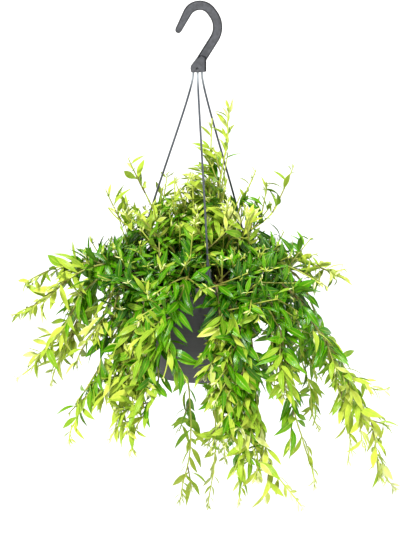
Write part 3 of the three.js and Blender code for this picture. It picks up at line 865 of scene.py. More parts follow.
def add_piece(name, mesh, nodes, finish=None):
    """Finished piece that rides on the body and stands for the given nodes."""
    piece = add_object(name, mesh)
    if finish is not None:
        mesh.materials.clear()
        mesh.materials.append(finish)
    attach(piece, BODY)
    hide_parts(*nodes)


def bridge(bm, first, second):
    """Quads between two rings with as many vertices each."""
    count = len(first)
    for k in range(count):
        n = (k + 1) % count
        bm.faces.new((first[k], first[n], second[n], second[k]))


def circle(radius, z, sides):
    """Points of a level circle round the pot's axis."""
    return [outward(360 * k / sides) * radius + UP * z for k in range(sides)]


def add_rings(bm, rings):
    """Vertices of rings of points, each ring joined to the next by quads."""
    made = [[bm.verts.new(point) for point in ring] for ring in rings]
    for first, second in zip(made, made[1:]):
        bridge(bm, first, second)
    return made


def loft(rings):
    """Closed solid through rings of points."""
    bm = bmesh.new()
    made = add_rings(bm, rings)
    bm.faces.new(made[0])
    bm.faces.new(made[-1])
    return bm


def lathe(profile, sides):
    """Solid turned about the pot's axis from pairs of radius and height, closed on the axis at both ends."""
    bm = bmesh.new()
    rings = add_rings(bm, [circle(radius, z, sides) for radius, z in profile[1:-1]])
    for ring, (_, z) in ((rings[0], profile[0]), (rings[-1], profile[-1])):
        middle = bm.verts.new((0, 0, z))
        for k in range(sides):
            bm.faces.new((ring[k], ring[(k + 1) % sides], middle))
    return bm


def rounded(radius, z, edge):
    """Points of a rounded edge from its steps in radius and height."""
    return [(radius + out, z + up) for out, up in edge]


def add_box(bm, size, centre, azimuth):
    """Adds a box turned to an azimuth."""
    place = Matrix.Translation(centre) @ Matrix.Rotation(math.radians(azimuth), 4, "Z")
    bmesh.ops.create_cube(bm, size=1, matrix=place @ Matrix.Diagonal((*size, 1)))


def add_rod(bm, radius, length, centre, sides=20):
    """Adds an upright rod."""
    place = Matrix.Translation(centre)
    bmesh.ops.create_cone(
        bm, cap_ends=True, segments=sides, radius1=radius, radius2=radius, depth=length, matrix=place
    )


def combined(name, mesh, other, operation):
    """Mesh with another one joined to it by UNION, or taken out of it by DIFFERENCE."""
    body, tool = add_object(name, mesh), add_object(name + "_tool", other)
    modifier = body.modifiers.new("combined", "BOOLEAN")
    modifier.operation = operation
    modifier.solver = "EXACT"
    modifier.object = tool
    made = settled(body, name)
    bpy.data.objects.remove(tool)
    return made


# Settings

# What every colour among the settings shares, and every place of the camera
COLOUR = {"subtype": "COLOR", "min": 0, "max": 1}
PLACE = {"subtype": "TRANSLATION", "unit": "LENGTH"}


class PotSettings(bpy.types.PropertyGroup):
    """Pot and soil"""

    sides: IntProperty(name="Sides", description="Faces around the pot", default=120, min=24, max=400)
    colour: FloatVectorProperty(
        name="Pot colour", description="Colour of the pot", default=(0.08, 0.075, 0.086), **COLOUR
    )
    soil_dark: FloatVectorProperty(
        name="Soil", description="Colour of the damp soil", default=(0.012, 0.008, 0.006), **COLOUR
    )
    soil_light: FloatVectorProperty(
        name="Crumbs", description="Colour of the crumbs", default=(0.06, 0.04, 0.025), **COLOUR
    )
    crumb_size: FloatProperty(
        name="Crumb size", description="Width of a crumb",
        unit="LENGTH", default=0.0034, min=0.0005, max=0.01,
    )
    crumb_density: FloatProperty(
        name="Crumb density", description="Crumbs to a square metre", default=52000, min=0, max=200000
    )


class HangerSettings(bpy.types.PropertyGroup):
    """Hook and strands"""

    hook_colour: FloatVectorProperty(
        name="Hook colour", description="Colour of the hook", default=(0.052, 0.054, 0.061), **COLOUR
    )
    strand_colour: FloatVectorProperty(
        name="Strand colour", description="Colour of the strands", default=(0.05, 0.058, 0.072), **COLOUR
    )
    # Painted highlight: pale colour painted on the strands just below the block.
    strand_top_highlight: FloatVectorProperty(
        name="Strand top", description="Colour of the strands at the block",
        default=(0.5, 0.55, 0.58), **COLOUR,
    )


class FoliageSettings(bpy.types.PropertyGroup):
    """Shoots and leaves"""

    leaf_length: FloatProperty(
        name="Leaf length", description="Length of a full leaf",
        unit="LENGTH", default=0.0318, min=0.005, max=0.1,
    )
    slimness: FloatProperty(
        name="Slimness", description="Width of a leaf to its length", default=0.32, min=0.05, max=1
    )
    thickness: FloatProperty(
        name="Thickness", description="Half thickness of a leaf to its half width",
        default=0.1, min=0.02, max=0.5,
    )
    curl: FloatProperty(
        name="Curl", description="Drop of a leaf's tip to its length",
        default=0.3, min=0, max=1,
    )
    fold: FloatProperty(
        name="Fold", description="Rise of a leaf's edges to its half width",
        default=0.2, min=0, max=1,
    )
    root_radius: FloatProperty(
        name="Stem at the root", description="Radius of a stem at its root",
        unit="LENGTH", default=0.0017, min=0.0002,
    )
    tip_radius: FloatProperty(
        name="Stem at the tip", description="Radius of a stem at its tip",
        unit="LENGTH", default=0.0007, min=0.0002,
    )
    sides: IntProperty(name="Stem sides", description="Faces around a stem", default=7, min=3, max=32)
    old: FloatVectorProperty(
        name="Old leaf", description="Colour of the oldest leaves",
        default=(0.009, 0.08, 0.0002), **COLOUR,
    )
    mature: FloatVectorProperty(
        name="Mature leaf", description="Colour of full leaves", default=(0.072, 0.27, 0.0004), **COLOUR
    )
    # Young and tip leaf colours: partly the leaves' own pale green, partly painted glow of light shining
    # through them.
    young: FloatVectorProperty(
        name="Young leaf", description="Colour of young leaves", default=(0.5, 0.585, 0.065), **COLOUR
    )
    tip: FloatVectorProperty(
        name="Tip leaf", description="Colour of the smallest leaves", default=(0.76, 0.8, 0.43), **COLOUR
    )
    underside: FloatVectorProperty(
        name="Underside", description="Tint of the underside", default=(0.2, 0.38, 0.05), **COLOUR
    )
    bark: FloatVectorProperty(
        name="Old stem", description="Colour of woody stems", default=(0.09, 0.055, 0.015), **COLOUR
    )
    stem_green: FloatVectorProperty(
        name="Green stem", description="Colour of green stems", default=(0.27, 0.3, 0.035), **COLOUR
    )


class StageSettings(bpy.types.PropertyGroup):
    """Camera, floor and light"""

    eye: FloatVectorProperty(
        name="Camera", description="Place of the camera", default=EYE * MM, **PLACE
    )
    aim: FloatVectorProperty(
        name="Aim", description="Point that the camera looks at", default=(0.0023, 0, -0.3046), **PLACE
    )
    lens: FloatProperty(
        name="Lens", description="Focal length in millimetres",
        default=129.04, min=10, max=500,
    )
    floor_z: FloatProperty(
        name="Floor", description="Height of the floor",
        unit="LENGTH", default=-0.95, max=0,
    )
    floor_colour: FloatVectorProperty(
        name="Floor colour", description="Colour of the floor", default=(0.64, 0.64, 0.64), **COLOUR
    )
    sky: FloatProperty(
        name="Surroundings", description="Strength of the white surroundings",
        default=0.2, min=0, max=5,
    )
    key: FloatProperty(
        name="Key light", description="Strength of the key light",
        default=4.6, min=0, max=20,
    )


class PlantSettings(bpy.types.PropertyGroup):
    """All sizes and colours of the hanging plant"""

    pot: PointerProperty(type=PotSettings)
    hanger: PointerProperty(type=HangerSettings)
    foliage: PointerProperty(type=FoliageSettings)
    stage: PointerProperty(type=StageSettings)


# Pot

class PLANT_OT_pot(bpy.types.Operator):
    """Make the tapered pot with its banded rim, strand slots and drainage holes"""

    bl_idname = "plant.pot"
    bl_label = "Pot"

    def execute(self, context):
        settings = context.scene.hanging_plant.pot
        band_z = RIM_Z - RIM_BAND
        flange_z = RIM_Z - WALL
        profile = (
            (0, BASE_Z),
            *rounded(BASE_RADIUS, BASE_Z, BASE_EDGE),
            *((lerp(BASE_RADIUS, NECK_RADIUS, part), lerp(BASE_Z, flange_z, part)) for part in SIDE_RINGS),
            (NECK_RADIUS, flange_z),
            (RIM_RADIUS - BAND_WALL, flange_z),
            *rounded(RIM_RADIUS - BAND_WALL, band_z, BAND_INNER_EDGE),
            *rounded(RIM_RADIUS, band_z, BAND_OUTER_EDGE),
            *rounded(RIM_RADIUS, RIM_Z, RIM_OUTER_EDGE),
            *rounded(NECK_RADIUS - WALL, RIM_Z, RIM_INNER_EDGE),
            *rounded(BASE_RADIUS - WALL, BASE_Z + WALL, FLOOR_EDGE),
            (0, BASE_Z + WALL),
        )
        mesh = mesh_from(lathe(profile, settings.sides), "pot_shell")
        cutter = bmesh.new()
        for _, azimuth, _ in STRANDS:
            centre = outward(azimuth) * STRAND_CIRCLE + UP * RIM_Z
            add_box(cutter, (SLOT_WIDTH, SLOT_THICKNESS, CUT_DEPTH), centre, azimuth)
        for k in range(DRAIN_HOLES):
            centre = outward(360 * (k + 0.5) / DRAIN_HOLES) * DRAIN_CIRCLE + UP * BASE_Z
            add_rod(cutter, DRAIN_RADIUS, CUT_DEPTH, centre, DRAIN_SIDES)
        mesh = combined("pot_shell", mesh, mesh_from(cutter, "pot_cutter"), "DIFFERENCE")
        mesh = mesh_from(bmesh_of(mesh), "pot_shell", SHARP_POT_EDGE)
        add_piece("pot_shell", mesh, ["pot"], pot_finish(settings.colour))
        return {"FINISHED"}


# Soil

def crumb_tree():
    """Geometry Nodes tree that scatters crumbs over the upward faces of a mesh and joins them to it."""
    floats = ("Crumb size", "Density")
    g = Shape("soil_crumbs", Geometry=["Geometry"], Float=floats, Int=["Seed"], Material=["Material"])
    given = g.given
    normal = g.add("GeometryNodeInputNormal").outputs["Normal"]
    upward = g.add("ShaderNodeSeparateXYZ", {"Vector": normal}).outputs["Z"]
    inputs = {"Mesh": given["Geometry"], "Selection": g.maths("GREATER_THAN", upward, CRUMB_UPWARD)}
    inputs |= {"Density": given["Density"], "Seed": given["Seed"]}
    points = g.add("GeometryNodeDistributePointsOnFaces", inputs).outputs["Points"]
    crumb = g.add("GeometryNodeMeshIcoSphere", {"Radius": 0.5, "Subdivisions": 2}).outputs["Mesh"]
    turn = g.drawn((0, 0, 0), (math.tau,) * 3)
    size = g.scaled(g.drawn(CRUMB_LEAST, CRUMB_MOST), given["Crumb size"])
    inputs = {"Points": points, "Instance": crumb, "Rotation": turn, "Scale": size}
    placed = g.add("GeometryNodeInstanceOnPoints", inputs).outputs[0]
    tone = g.add("FunctionNodeRandomValue", data_type="FLOAT").outputs[1]
    toned = g.store(placed, "tone", tone, "INSTANCE")
    return g.ended(g.realized(g.joined(given["Geometry"], toned), given["Material"]))


def run_tree(thing, tree, values):
    """Puts a Geometry Nodes tree on an object and sets its inputs by their identifiers."""
    modifier = thing.modifiers.new(tree.name, "NODES")
    modifier.node_group = tree
    named = {s.name: s.identifier for s in tree.interface.items_tree if s.in_out == "INPUT"}
    for name, value in values.items():
        modifier[named[name]] = value


class PLANT_OT_soil(bpy.types.Operator):
    """Make the soil, with a rough top and loose crumbs"""

    bl_idname = "plant.soil"
    bl_label = "Soil"

    def execute(self, context):
        settings = context.scene.hanging_plant.pot
        bottom_z = BASE_Z + WALL + FIT_GAP
        slope = (NECK_RADIUS - BASE_RADIUS) / (POT_HEIGHT - WALL)

        def radius_at(z):
            return BASE_RADIUS - WALL - FIT_GAP + slope * (z - bottom_z)

        top_radius = radius_at(SOIL_TOP_Z) - SOIL_SHOULDER
        foot_z, edge_z = bottom_z + SOIL_FOOT_EDGE, SOIL_TOP_Z - SOIL_EDGE
        profile = [(0, bottom_z), (radius_at(bottom_z) - SOIL_FOOT_EDGE, bottom_z)]
        profile += [(radius_at(foot_z), foot_z), (radius_at(edge_z), edge_z)]
        profile += [(top_radius * (1 - k / SOIL_RINGS), SOIL_TOP_Z) for k in range(SOIL_RINGS)]
        profile.append((0, SOIL_TOP_Z))
        bm = lathe(profile, SOIL_SIDES)
        for vert in bm.verts:
            if vert.co.z > (edge_z + SOIL_TOP_Z) / 2:
                rough = noise.fractal(vert.co * LUMPS, 1.0, 2.0, 4)
                vert.co.z += min(LUMP_STRENGTH * rough, LUMP_LIMIT) - LUMP_SINK
        base = add_object("soil_base", mesh_from(bm, "soil_base", SHARP_SOIL_EDGE))
        finish = soil_finish(settings.soil_dark, settings.soil_light)
        values = {"Crumb size": settings.crumb_size, "Density": settings.crumb_density}
        run_tree(base, crumb_tree(), {**values, "Seed": CRUMB_SEED, "Material": finish})
        add_piece("soil_bed", settled(base, "soil_bed"), ["soil"])
        return {"FINISHED"}


# Hook

def hook_line():
    """Points of the hook's centre line with rounded corners, evenly spaced, as x and z."""
    stops = [Vector(at) for at, _ in HOOK_CORNERS] + [Vector(HOOK_END)]
    start = Vector(HOOK_TIP)
    line = [start]
    for k, (_, fillet) in enumerate(HOOK_CORNERS):
        inward = (stops[k] - start).normalized()
        onward = (stops[k + 1] - stops[k]).normalized()
        turn = inward.angle(onward)
        setback = fillet * math.tan(turn / 2)
        begin = stops[k] - inward * setback
        centre = begin + Vector((inward.y, -inward.x)) * fillet
        spoke = begin - centre
        for step in range(FILLET_STEPS + 1):
            angle = -turn * step / FILLET_STEPS
            c, s = math.cos(angle), math.sin(angle)
            line.append(centre + Vector((spoke.x * c - spoke.y * s, spoke.x * s + spoke.y * c)))
        start = stops[k] + onward * setback
    line.append(stops[-1])
    return line


def spaced(line, steps):
    """Points at even distances along a line of points."""
    reached = [0.0]
    for a, b in zip(line, line[1:]):
        reached.append(reached[-1] + (b - a).length)
    made = []
    for k in range(steps + 1):
        goal = reached[-1] * k / steps
        i = min(bisect.bisect_right(reached, goal), len(line) - 1)
        step = reached[i] - reached[i - 1]
        made.append(line[i - 1].lerp(line[i], (goal - reached[i - 1]) / step if step else 0))
    return made


def rounded_section(sides, power):
    """Points of a rounded rectangle that reaches 1 in both directions."""
    made = []
    for k in range(sides):
        angle = math.tau * (k + 0.5) / sides
        c, s = math.cos(angle), math.sin(angle)
        made.append((math.copysign(abs(c) ** power, c), math.copysign(abs(s) ** power, s)))
    return made


class PLANT_OT_hook(bpy.types.Operator):
    """Make the moulded hook with the block that holds the strands"""

    bl_idname = "plant.hook"
    bl_label = "Hook"

    def execute(self, context):
        settings = context.scene.hanging_plant.hanger
        line = spaced(hook_line(), HOOK_STEPS)
        section = [
            (u, v * (1 - HOOK_GROOVE * smooth((GROOVE_END - abs(u)) / GROOVE_BLEND)))
            for u, v in rounded_section(HOOK_SIDES, HOOK_ROUNDNESS)
        ]
        depth = Vector((0, 1, 0))
        rings = []

        def add_station(k, taper, shift):
            before, after = line[max(k - 1, 0)], line[min(k + 1, HOOK_STEPS)]
            along = Vector((after.x - before.x, 0, after.y - before.y)).normalized()
            across = depth.cross(along)
            grown = min(1, k / HOOK_STEPS / HOOK_TIP_TAPER)
            width = lerp(HOOK_TIP_WIDTH, HOOK_SHANK_WIDTH, grown) * taper / 2
            centre = Vector((line[k].x, 0, line[k].y)) + along * shift
            thick = HOOK_DEPTH / 2 * taper
            rings.append([centre + across * (u * width) + depth * (v * thick) for u, v in section])

        for taper, shift in TIP_RINGS:
            add_station(0, taper, shift)
        for k in range(HOOK_STEPS + 1):
            add_station(k, 1, 0)
        bm = loft([[(x, y, z) for x, z in BLOCK_OUTLINE] for y in (-BLOCK_DEPTH / 2, BLOCK_DEPTH / 2)])
        corner = [e for e in bm.edges if all(v.co.x > BLOCK_RIGHT - 0.1 and v.co.y < 0 for v in e.verts)]
        bmesh.ops.bevel(bm, geom=corner, offset=BLOCK_ROUNDING, segments=5, profile=0.5, affect="EDGES")
        edges = list(bm.edges)
        bmesh.ops.bevel(bm, geom=edges, offset=BLOCK_EDGE, segments=2, profile=0.5, affect="EDGES")
        shank, block = mesh_from(loft(rings), "hook_shank"), mesh_from(bm, "hook_block")
        mesh = combined("hook", shank, block, "UNION")
        cutter = bmesh.new()
        for _, _, (x, y) in STRANDS:
            add_rod(cutter, SOCKET_RADIUS, 2 * SOCKET_DEPTH, Vector((x, y, BLOCK_FLOOR_Z)))
        place = Matrix.Translation((DIMPLE[0], -BLOCK_DEPTH / 2 - DIMPLE_RISE, DIMPLE[1]))
        bmesh.ops.create_icosphere(cutter, subdivisions=3, radius=DIMPLE_RADIUS, matrix=place)
        mesh = combined("hook", mesh, mesh_from(cutter, "hook_cutter"), "DIFFERENCE")
        body = add_object("hook_body", mesh)
        remesh = body.modifiers.new("moulded", "REMESH")
        remesh.mode = "VOXEL"
        remesh.voxel_size = MOULD_GRAIN * MM
        soften = body.modifiers.new("soften", "SMOOTH")
        soften.factor = 0.5
        soften.iterations = MOULD_PASSES
        mesh = settled(body, "hook_and_block")
        mesh.shade_smooth()
        add_piece("hook_and_block", mesh, ["hanger_hook"], hook_finish(settings.hook_colour))
        return {"FINISHED"}


# Strands

def strand_line(azimuth, socket):
    """Points of a strand's centre line, from inside its socket to its foot."""
    out = outward(azimuth)
    top = Vector((*socket, BLOCK_FLOOR_Z + SOCKET_DEPTH - FIT_GAP))
    mouth = Vector((*socket, BLOCK_FLOOR_Z - STRAND_STRAIGHT))
    seat = out * STRAND_CIRCLE + UP * (RIM_Z + SEAT_RISE)
    end = out * STRAND_CIRCLE + UP * (RIM_Z - FOOT_DROP - FOOT_SIZE[2])
    corners = (
        mouth,
        mouth - UP * STRAND_HANDLE,
        seat - out * SEAT_LEAN + UP * SEAT_HANDLE,
        seat,
    )
    free = spaced([bezier(corners, k / CURVE_STEPS) for k in range(CURVE_STEPS + 1)], STRAND_STEPS)
    return [top, *free, *(seat.lerp(end, k / SEAT_STEPS) for k in range(1, SEAT_STEPS + 1))]


def strand_tree():
    """Geometry Nodes tree that sweeps a rod along a line and flattens it by its width and depth."""
    g = Shape("strand_sweep", Geometry=["Geometry"], Int=["Sides"], Vector=["Across"], Material=["Material"])
    across, depth = g.given["Across"], g.read("depth")
    swept = g.sweep(g.given["Geometry"], depth)
    place = g.add("GeometryNodeInputPosition").outputs[0]
    away = g.vectors("SUBTRACT", place, g.read("centre", "FLOAT_VECTOR"))
    share = g.vectors("DOT_PRODUCT", away, across, output="Value")
    stretch = g.minus(g.maths("DIVIDE", g.read("width"), depth), 1.0)
    inputs = {"Geometry": swept, "Offset": g.scaled(across, g.times(share, stretch))}
    flat = g.add("GeometryNodeSetPosition", inputs).outputs[0]
    return g.ended(g.realized(flat, g.given["Material"]))


def point_mesh(name, points, edges):
    """Mesh in metres of points in millimetres, joined by edges alone."""
    mesh = bpy.data.meshes.new(name)
    mesh.from_pydata([point * MM for point in points], edges, [])
    return mesh


def store(mesh, name, kind, values):
    """Named attribute of a mesh's points."""
    attribute = mesh.attributes.new(name, kind, "POINT")
    field = {"FLOAT_VECTOR": "vector"}.get(kind, "value")
    if kind in ("FLOAT_VECTOR", "QUATERNION"):
        values = [part for value in values for part in value]
    attribute.data.foreach_set(field, values)


STRAND_LINES = [strand_line(azimuth, socket) for _, azimuth, socket in STRANDS]


class PLANT_OT_strands(bpy.types.Operator):
    """Make the three strands, each with its flat tongue, window and foot at the rim"""

    bl_idname = "plant.strands"
    bl_label = "Strands"

    def execute(self, context):
        settings = context.scene.hanging_plant.hanger
        finish = strand_finish(settings.strand_colour, settings.strand_top_highlight)
        tree = strand_tree()
        low, high = WINDOW_SPAN
        triangle = ((0, high), (-WINDOW_WIDTH / 2, low), (WINDOW_WIDTH / 2, low))
        for (side, azimuth, _), points in zip(STRANDS, STRAND_LINES):
            name, out = "strand_" + side, outward(azimuth)
            spreads = [smooth((TONGUE_LENGTH - (p.z - RIM_Z)) / TONGUE_FLARE) for p in points]
            mesh = point_mesh(name, points, [(k, k + 1) for k in range(len(points) - 1)])
            store(mesh, "centre", "FLOAT_VECTOR", [p * MM for p in points])
            for label, size in (("width", TONGUE_WIDTH), ("depth", TONGUE_THICKNESS)):
                store(mesh, label, "FLOAT", [lerp(STRAND_RADIUS, size / 2, s) * MM for s in spreads])
            cord = add_object(name + "_line", mesh)
            run_tree(cord, tree, {"Sides": STRAND_SIDES, "Across": UP.cross(out), "Material": finish})
            swept = mesh_from(bmesh_of(settled(cord, name)), name)
            turned = Matrix.Rotation(math.radians(azimuth), 4, "Z")
            middle = out * STRAND_CIRCLE + UP * RIM_Z
            ends = (-TONGUE_WIDTH, TONGUE_WIDTH)
            window = loft([[turned @ Vector((x, y, z)) + middle for x, z in triangle] for y in ends])
            mesh = combined(name, swept, mesh_from(window, name + "_window"), "DIFFERENCE")
            foot = bmesh.new()
            foot_at = out * (STRAND_CIRCLE + FOOT_REACH) + UP * (RIM_Z - FOOT_DROP - FOOT_SIZE[2] / 2)
            add_box(foot, FOOT_SIZE, foot_at, azimuth)
            bmesh.ops.bevel(foot, geom=list(foot.edges), offset=FOOT_EDGE, segments=2, affect="EDGES")
            mesh = combined(name, mesh, mesh_from(foot, name + "_foot"), "UNION")
            mesh = mesh_from(bmesh_of(mesh), name, SHARP_STRAND_EDGE)
            add_piece(name + "_cord", mesh, [name], finish)
        return {"FINISHED"}


# Shoots

class Stem:
    """One stem as points at even shares of its length, with what its leaves depend on."""

    def __init__(self, index, line, length, upright, freshness):
        self.index, self.line, self.length = index, line, length
        self.upright, self.freshness = upright, freshness
        self.sparse = line[-1].z < RIM_Z - SPARSE_DROP
        self.tall = line[-1].z > RIM_Z + TALL_CROWN
        self.age = 0
        self.fronts = not upright and line[len(line) // 2].y < FRONT_STEM

    def point_at(self, share):
        spot = min(max(share, 0), 1) * (len(self.line) - 1)
        k = min(int(spot), len(self.line) - 2)
        return self.line[k].lerp(self.line[k + 1], spot - k)

    def station(self, share):
        """Point, direction along, sideways and lift directions, and the level way out."""
        near = 0.004
        point = self.point_at(share)
        along = (self.point_at(share + near) - self.point_at(share - near)).normalized()
        out = Vector((point.x, point.y, 0)).normalized()
        side = UP.cross(out)
        side = (side - along * side.dot(along)).normalized()
        return point, along, side, along.cross(side), out

    def leaf_nodes(self, first, pitch):
        """Shares of the length where pairs of leaves grow, closer together towards the tip."""
        nodes = []
        reached = first
        while reached < self.length - LAST_LEAF:
            share = reached / self.length
            nodes.append(share)
            step = pitch * (1 - NODE_CLOSING * share**3)
            reached += step * (NODE_LEAST + NODE_VARIETY * chance(self.index, len(nodes) - 1, 0))
        return nodes


def main_stem(index, curves, azimuth, turn, upright):
    """Stem that follows curves of radius and height while its azimuth sways and turns."""
    flat = [bezier(curve, k / STEM_STEPS) for curve in curves for k in range(STEM_STEPS + 1)]
    length = sum((b - a).length for a, b in zip(flat, flat[1:]))
    bend = Vector([2 * chance(index, n, 12) - 1 for n in range(3)])
    bend *= CROWN_TIP_BEND if upright else TIP_BEND
    line = []
    for k, at in enumerate(spaced(flat, STEM_STEPS)):
        share = k / STEM_STEPS
        wave = math.sin(math.tau * (WAVES * share + chance(index, 0, 9)))
        heading = azimuth + turn * share * share + SWAY * share * wave
        point = outward(heading) * at.x + UP * at.y
        drift = noise.noise_vector(Vector((share * length / WANDER_LENGTH, index * math.pi, 0)))
        wander = drift * lerp(0, WANDER, min(WANDER_GROWTH * share, 1))
        line.append(point + (wander + bend * max(share / BEND_START - 1, 0) ** 2 * BEND_GROWTH))
    low = upright and line[-1].z < RIM_Z + LOW_CROWN
    staleness = CROWN_STALENESS if upright and not low else SKIRT_STALENESS
    return Stem(index, line, length, upright, chance(index, 3, 11) - staleness)


def trailing_stem(index, row):
    """Stem that rises from the soil, crests over the rim and hangs, from its row of sizes."""
    azimuth, root, crest_radius, crest, reach, tip, hang, inset, turn = row
    crest_z, tip_z = RIM_Z + crest, RIM_Z + tip
    rise = (
        Vector((root, SOIL_TOP_Z)),
        Vector((root + 1, lerp(SOIL_TOP_Z, crest_z, RISE_HANDLE))),
        Vector((lerp(crest_radius, root, CREST_HANDLE), crest_z)),
        Vector((crest_radius, crest_z)),
    )
    fall = (
        Vector((crest_radius, crest_z)),
        Vector((lerp(crest_radius, reach, CREST_HANDLE), crest_z)),
        Vector((reach - inset, tip_z + hang)),
        Vector((reach, tip_z)),
    )
    return main_stem(index, (rise, fall), azimuth, turn, False)


def crown_stem(index, row):
    """Stem that stands up or arches over the soil, from its row of sizes."""
    azimuth, root, lift, reach, tip, hang, inset, turn = row
    tip_z = RIM_Z + tip
    curve = (
        Vector((root, SOIL_TOP_Z)),
        Vector((lerp(root, reach, CROWN_HANDLE), SOIL_TOP_Z + lift)),
        Vector((reach - inset, tip_z + hang)),
        Vector((reach, tip_z)),
    )
    return main_stem(index, (curve,), azimuth, turn, True)


def twig_places(stem):
    """Number of a stem's twigs and the shares of its length that they start between."""
    if stem.upright:
        reach = Vector(stem.line[-1].xy).length
        count, low, _ = TWIGS
        return count, low, lerp(*CROWN_TWIGS_END, smooth((reach - CROWN_REACH) / CROWN_REACH_SPAN))
    if stem.sparse:
        return SPARSE_TWIGS
    return FRONT_TWIGS if stem.fronts else TWIGS


def twigs_of(stem):
    """Short side shoots. They rise from a crown stem and a trailing one's crest, and hang further on."""
    count, low, high = twig_places(stem)
    lean, bias = FRONT_LEAN if stem.fronts else LEAN
    made = []
    for k in range(count):
        draw = [chance(stem.index, TWIG_SEED + k, n) for n in range(6)]
        share = lerp(low, high, (k + draw[0]) / count)
        point, along, side, lift, out = stem.station(share)
        hangs = not stem.upright and share > (FRONT_HANG_FROM if stem.fronts else HANG_FROM)
        if hangs:
            way = along + side * math.copysign(lean, draw[1] - bias) + out * TWIG_OUT
            rise = UP * lerp(*HANGING_RISE, draw[3])
        else:
            angle = math.tau * draw[1]
            way = along * TWIG_ALONG
            way = way + side * math.cos(angle) * TWIG_SIDEWAYS + lift * math.sin(angle) * TWIG_OFF
            way += UP * (CROWN_TWIG_UP if stem.upright else TWIG_UP)
            rise = UP * lerp(*STANDING_RISE, draw[3])
        way.normalize()
        shortened = lerp(1, OUTER_TWIG, share) if hangs and not stem.fronts else 1
        length = lerp(*TWIG_LENGTHS, draw[2]) * shortened
        corners = [point + (way * a + rise * b) * length for a, b in TWIG_CURVE]
        line = spaced([bezier(corners, n / TWIG_STEPS) for n in range(TWIG_STEPS + 1)], TWIG_STEPS)
        free = all(is_free(at, TWIG_ROOM) for at in line[TWIG_FREE_FROM:])
        if free and not any(in_opening(at) for at in line[TWIG_SEEN_FROM:]):
            freshness = stem.freshness + TWIG_FRESHNESS * (draw[4] - TWIG_FRESHNESS_BIAS)
            twig = Stem(100 * (stem.index + 1) + k, line, length, not hangs, freshness)
            twig.age = share * (CROWN_TWIG_AGE if stem.upright else TWIG_AGE)
            made.append(twig)
    return made


def pot_radius(z):
    """Radius of the pot's outside at a height."""
    if z > RIM_Z - RIM_BAND:
        return RIM_RADIUS
    return lerp(BASE_RADIUS, NECK_RADIUS, (z - BASE_Z) / (POT_HEIGHT - WALL))


def is_free(at, margin):
    """Whether a point keeps out of the pot's wall, the soil and the strands, within the plant's depth."""
    if not FRONT_LIMIT < at.y < BACK_LIMIT:
        return False
    radius = Vector(at.xy).length
    if at.z < SOIL_TOP_Z + margin and radius < NECK_RADIUS:
        return False
    if BASE_Z - margin < at.z < RIM_Z + margin and NECK_RADIUS - WALL - margin < radius:
        if radius < pot_radius(at.z) + margin:
            return False
    return strand_gap(at) > margin + STRAND_RADIUS


def hides_soil(at):
    """Whether a point lies in the gap among the leaves, right of the front, where the dark soil shows."""
    low, high = SOIL_GAP
    part = min(max((at - low).dot(high - low) / (high - low).length_squared, 0), 1)
    return (low.lerp(high, part) - at).length < SOIL_GAP_RADIUS


def in_opening(at):
    """Whether a point lies in one of the openings among the leaves, as the camera sees them."""
    ray = at - EYE
    scale = VIEW_DISTANCE / ray.dot(VIEW_ALONG)
    across, up = ray.x * scale, ray.dot(VIEW_UP) * scale
    return any(math.hypot(across - x, up - z) < radius for x, z, radius in OPENINGS)


def hides_strand(at):
    """Whether a point lies before a strand that shows at the side."""
    height = at.dot(VIEW_UP)
    for number, lowest, room in SEEN_STRANDS:
        if height < lowest:
            continue
        for above, below in zip(STRAND_LINES[number], STRAND_LINES[number][1:]):
            high, low = above.dot(VIEW_UP), below.dot(VIEW_UP)
            if low <= height <= high:
                nearest = below.lerp(above, (height - low) / (high - low))
                if abs(nearest.x - at.x) < room and at.dot(VIEW_ALONG) < nearest.dot(VIEW_ALONG):
                    return True
    return False


def strand_gap(at):
    """Distance from a point to the nearest strand's centre line, taken level."""
    nearest = math.inf
    for line in STRAND_LINES:
        for above, below in zip(line, line[1:]):
            if below.z <= at.z <= above.z:
                part = (above.z - at.z) / (above.z - below.z)
                nearest = min(nearest, (above.lerp(below, part) - at).length)
    return nearest


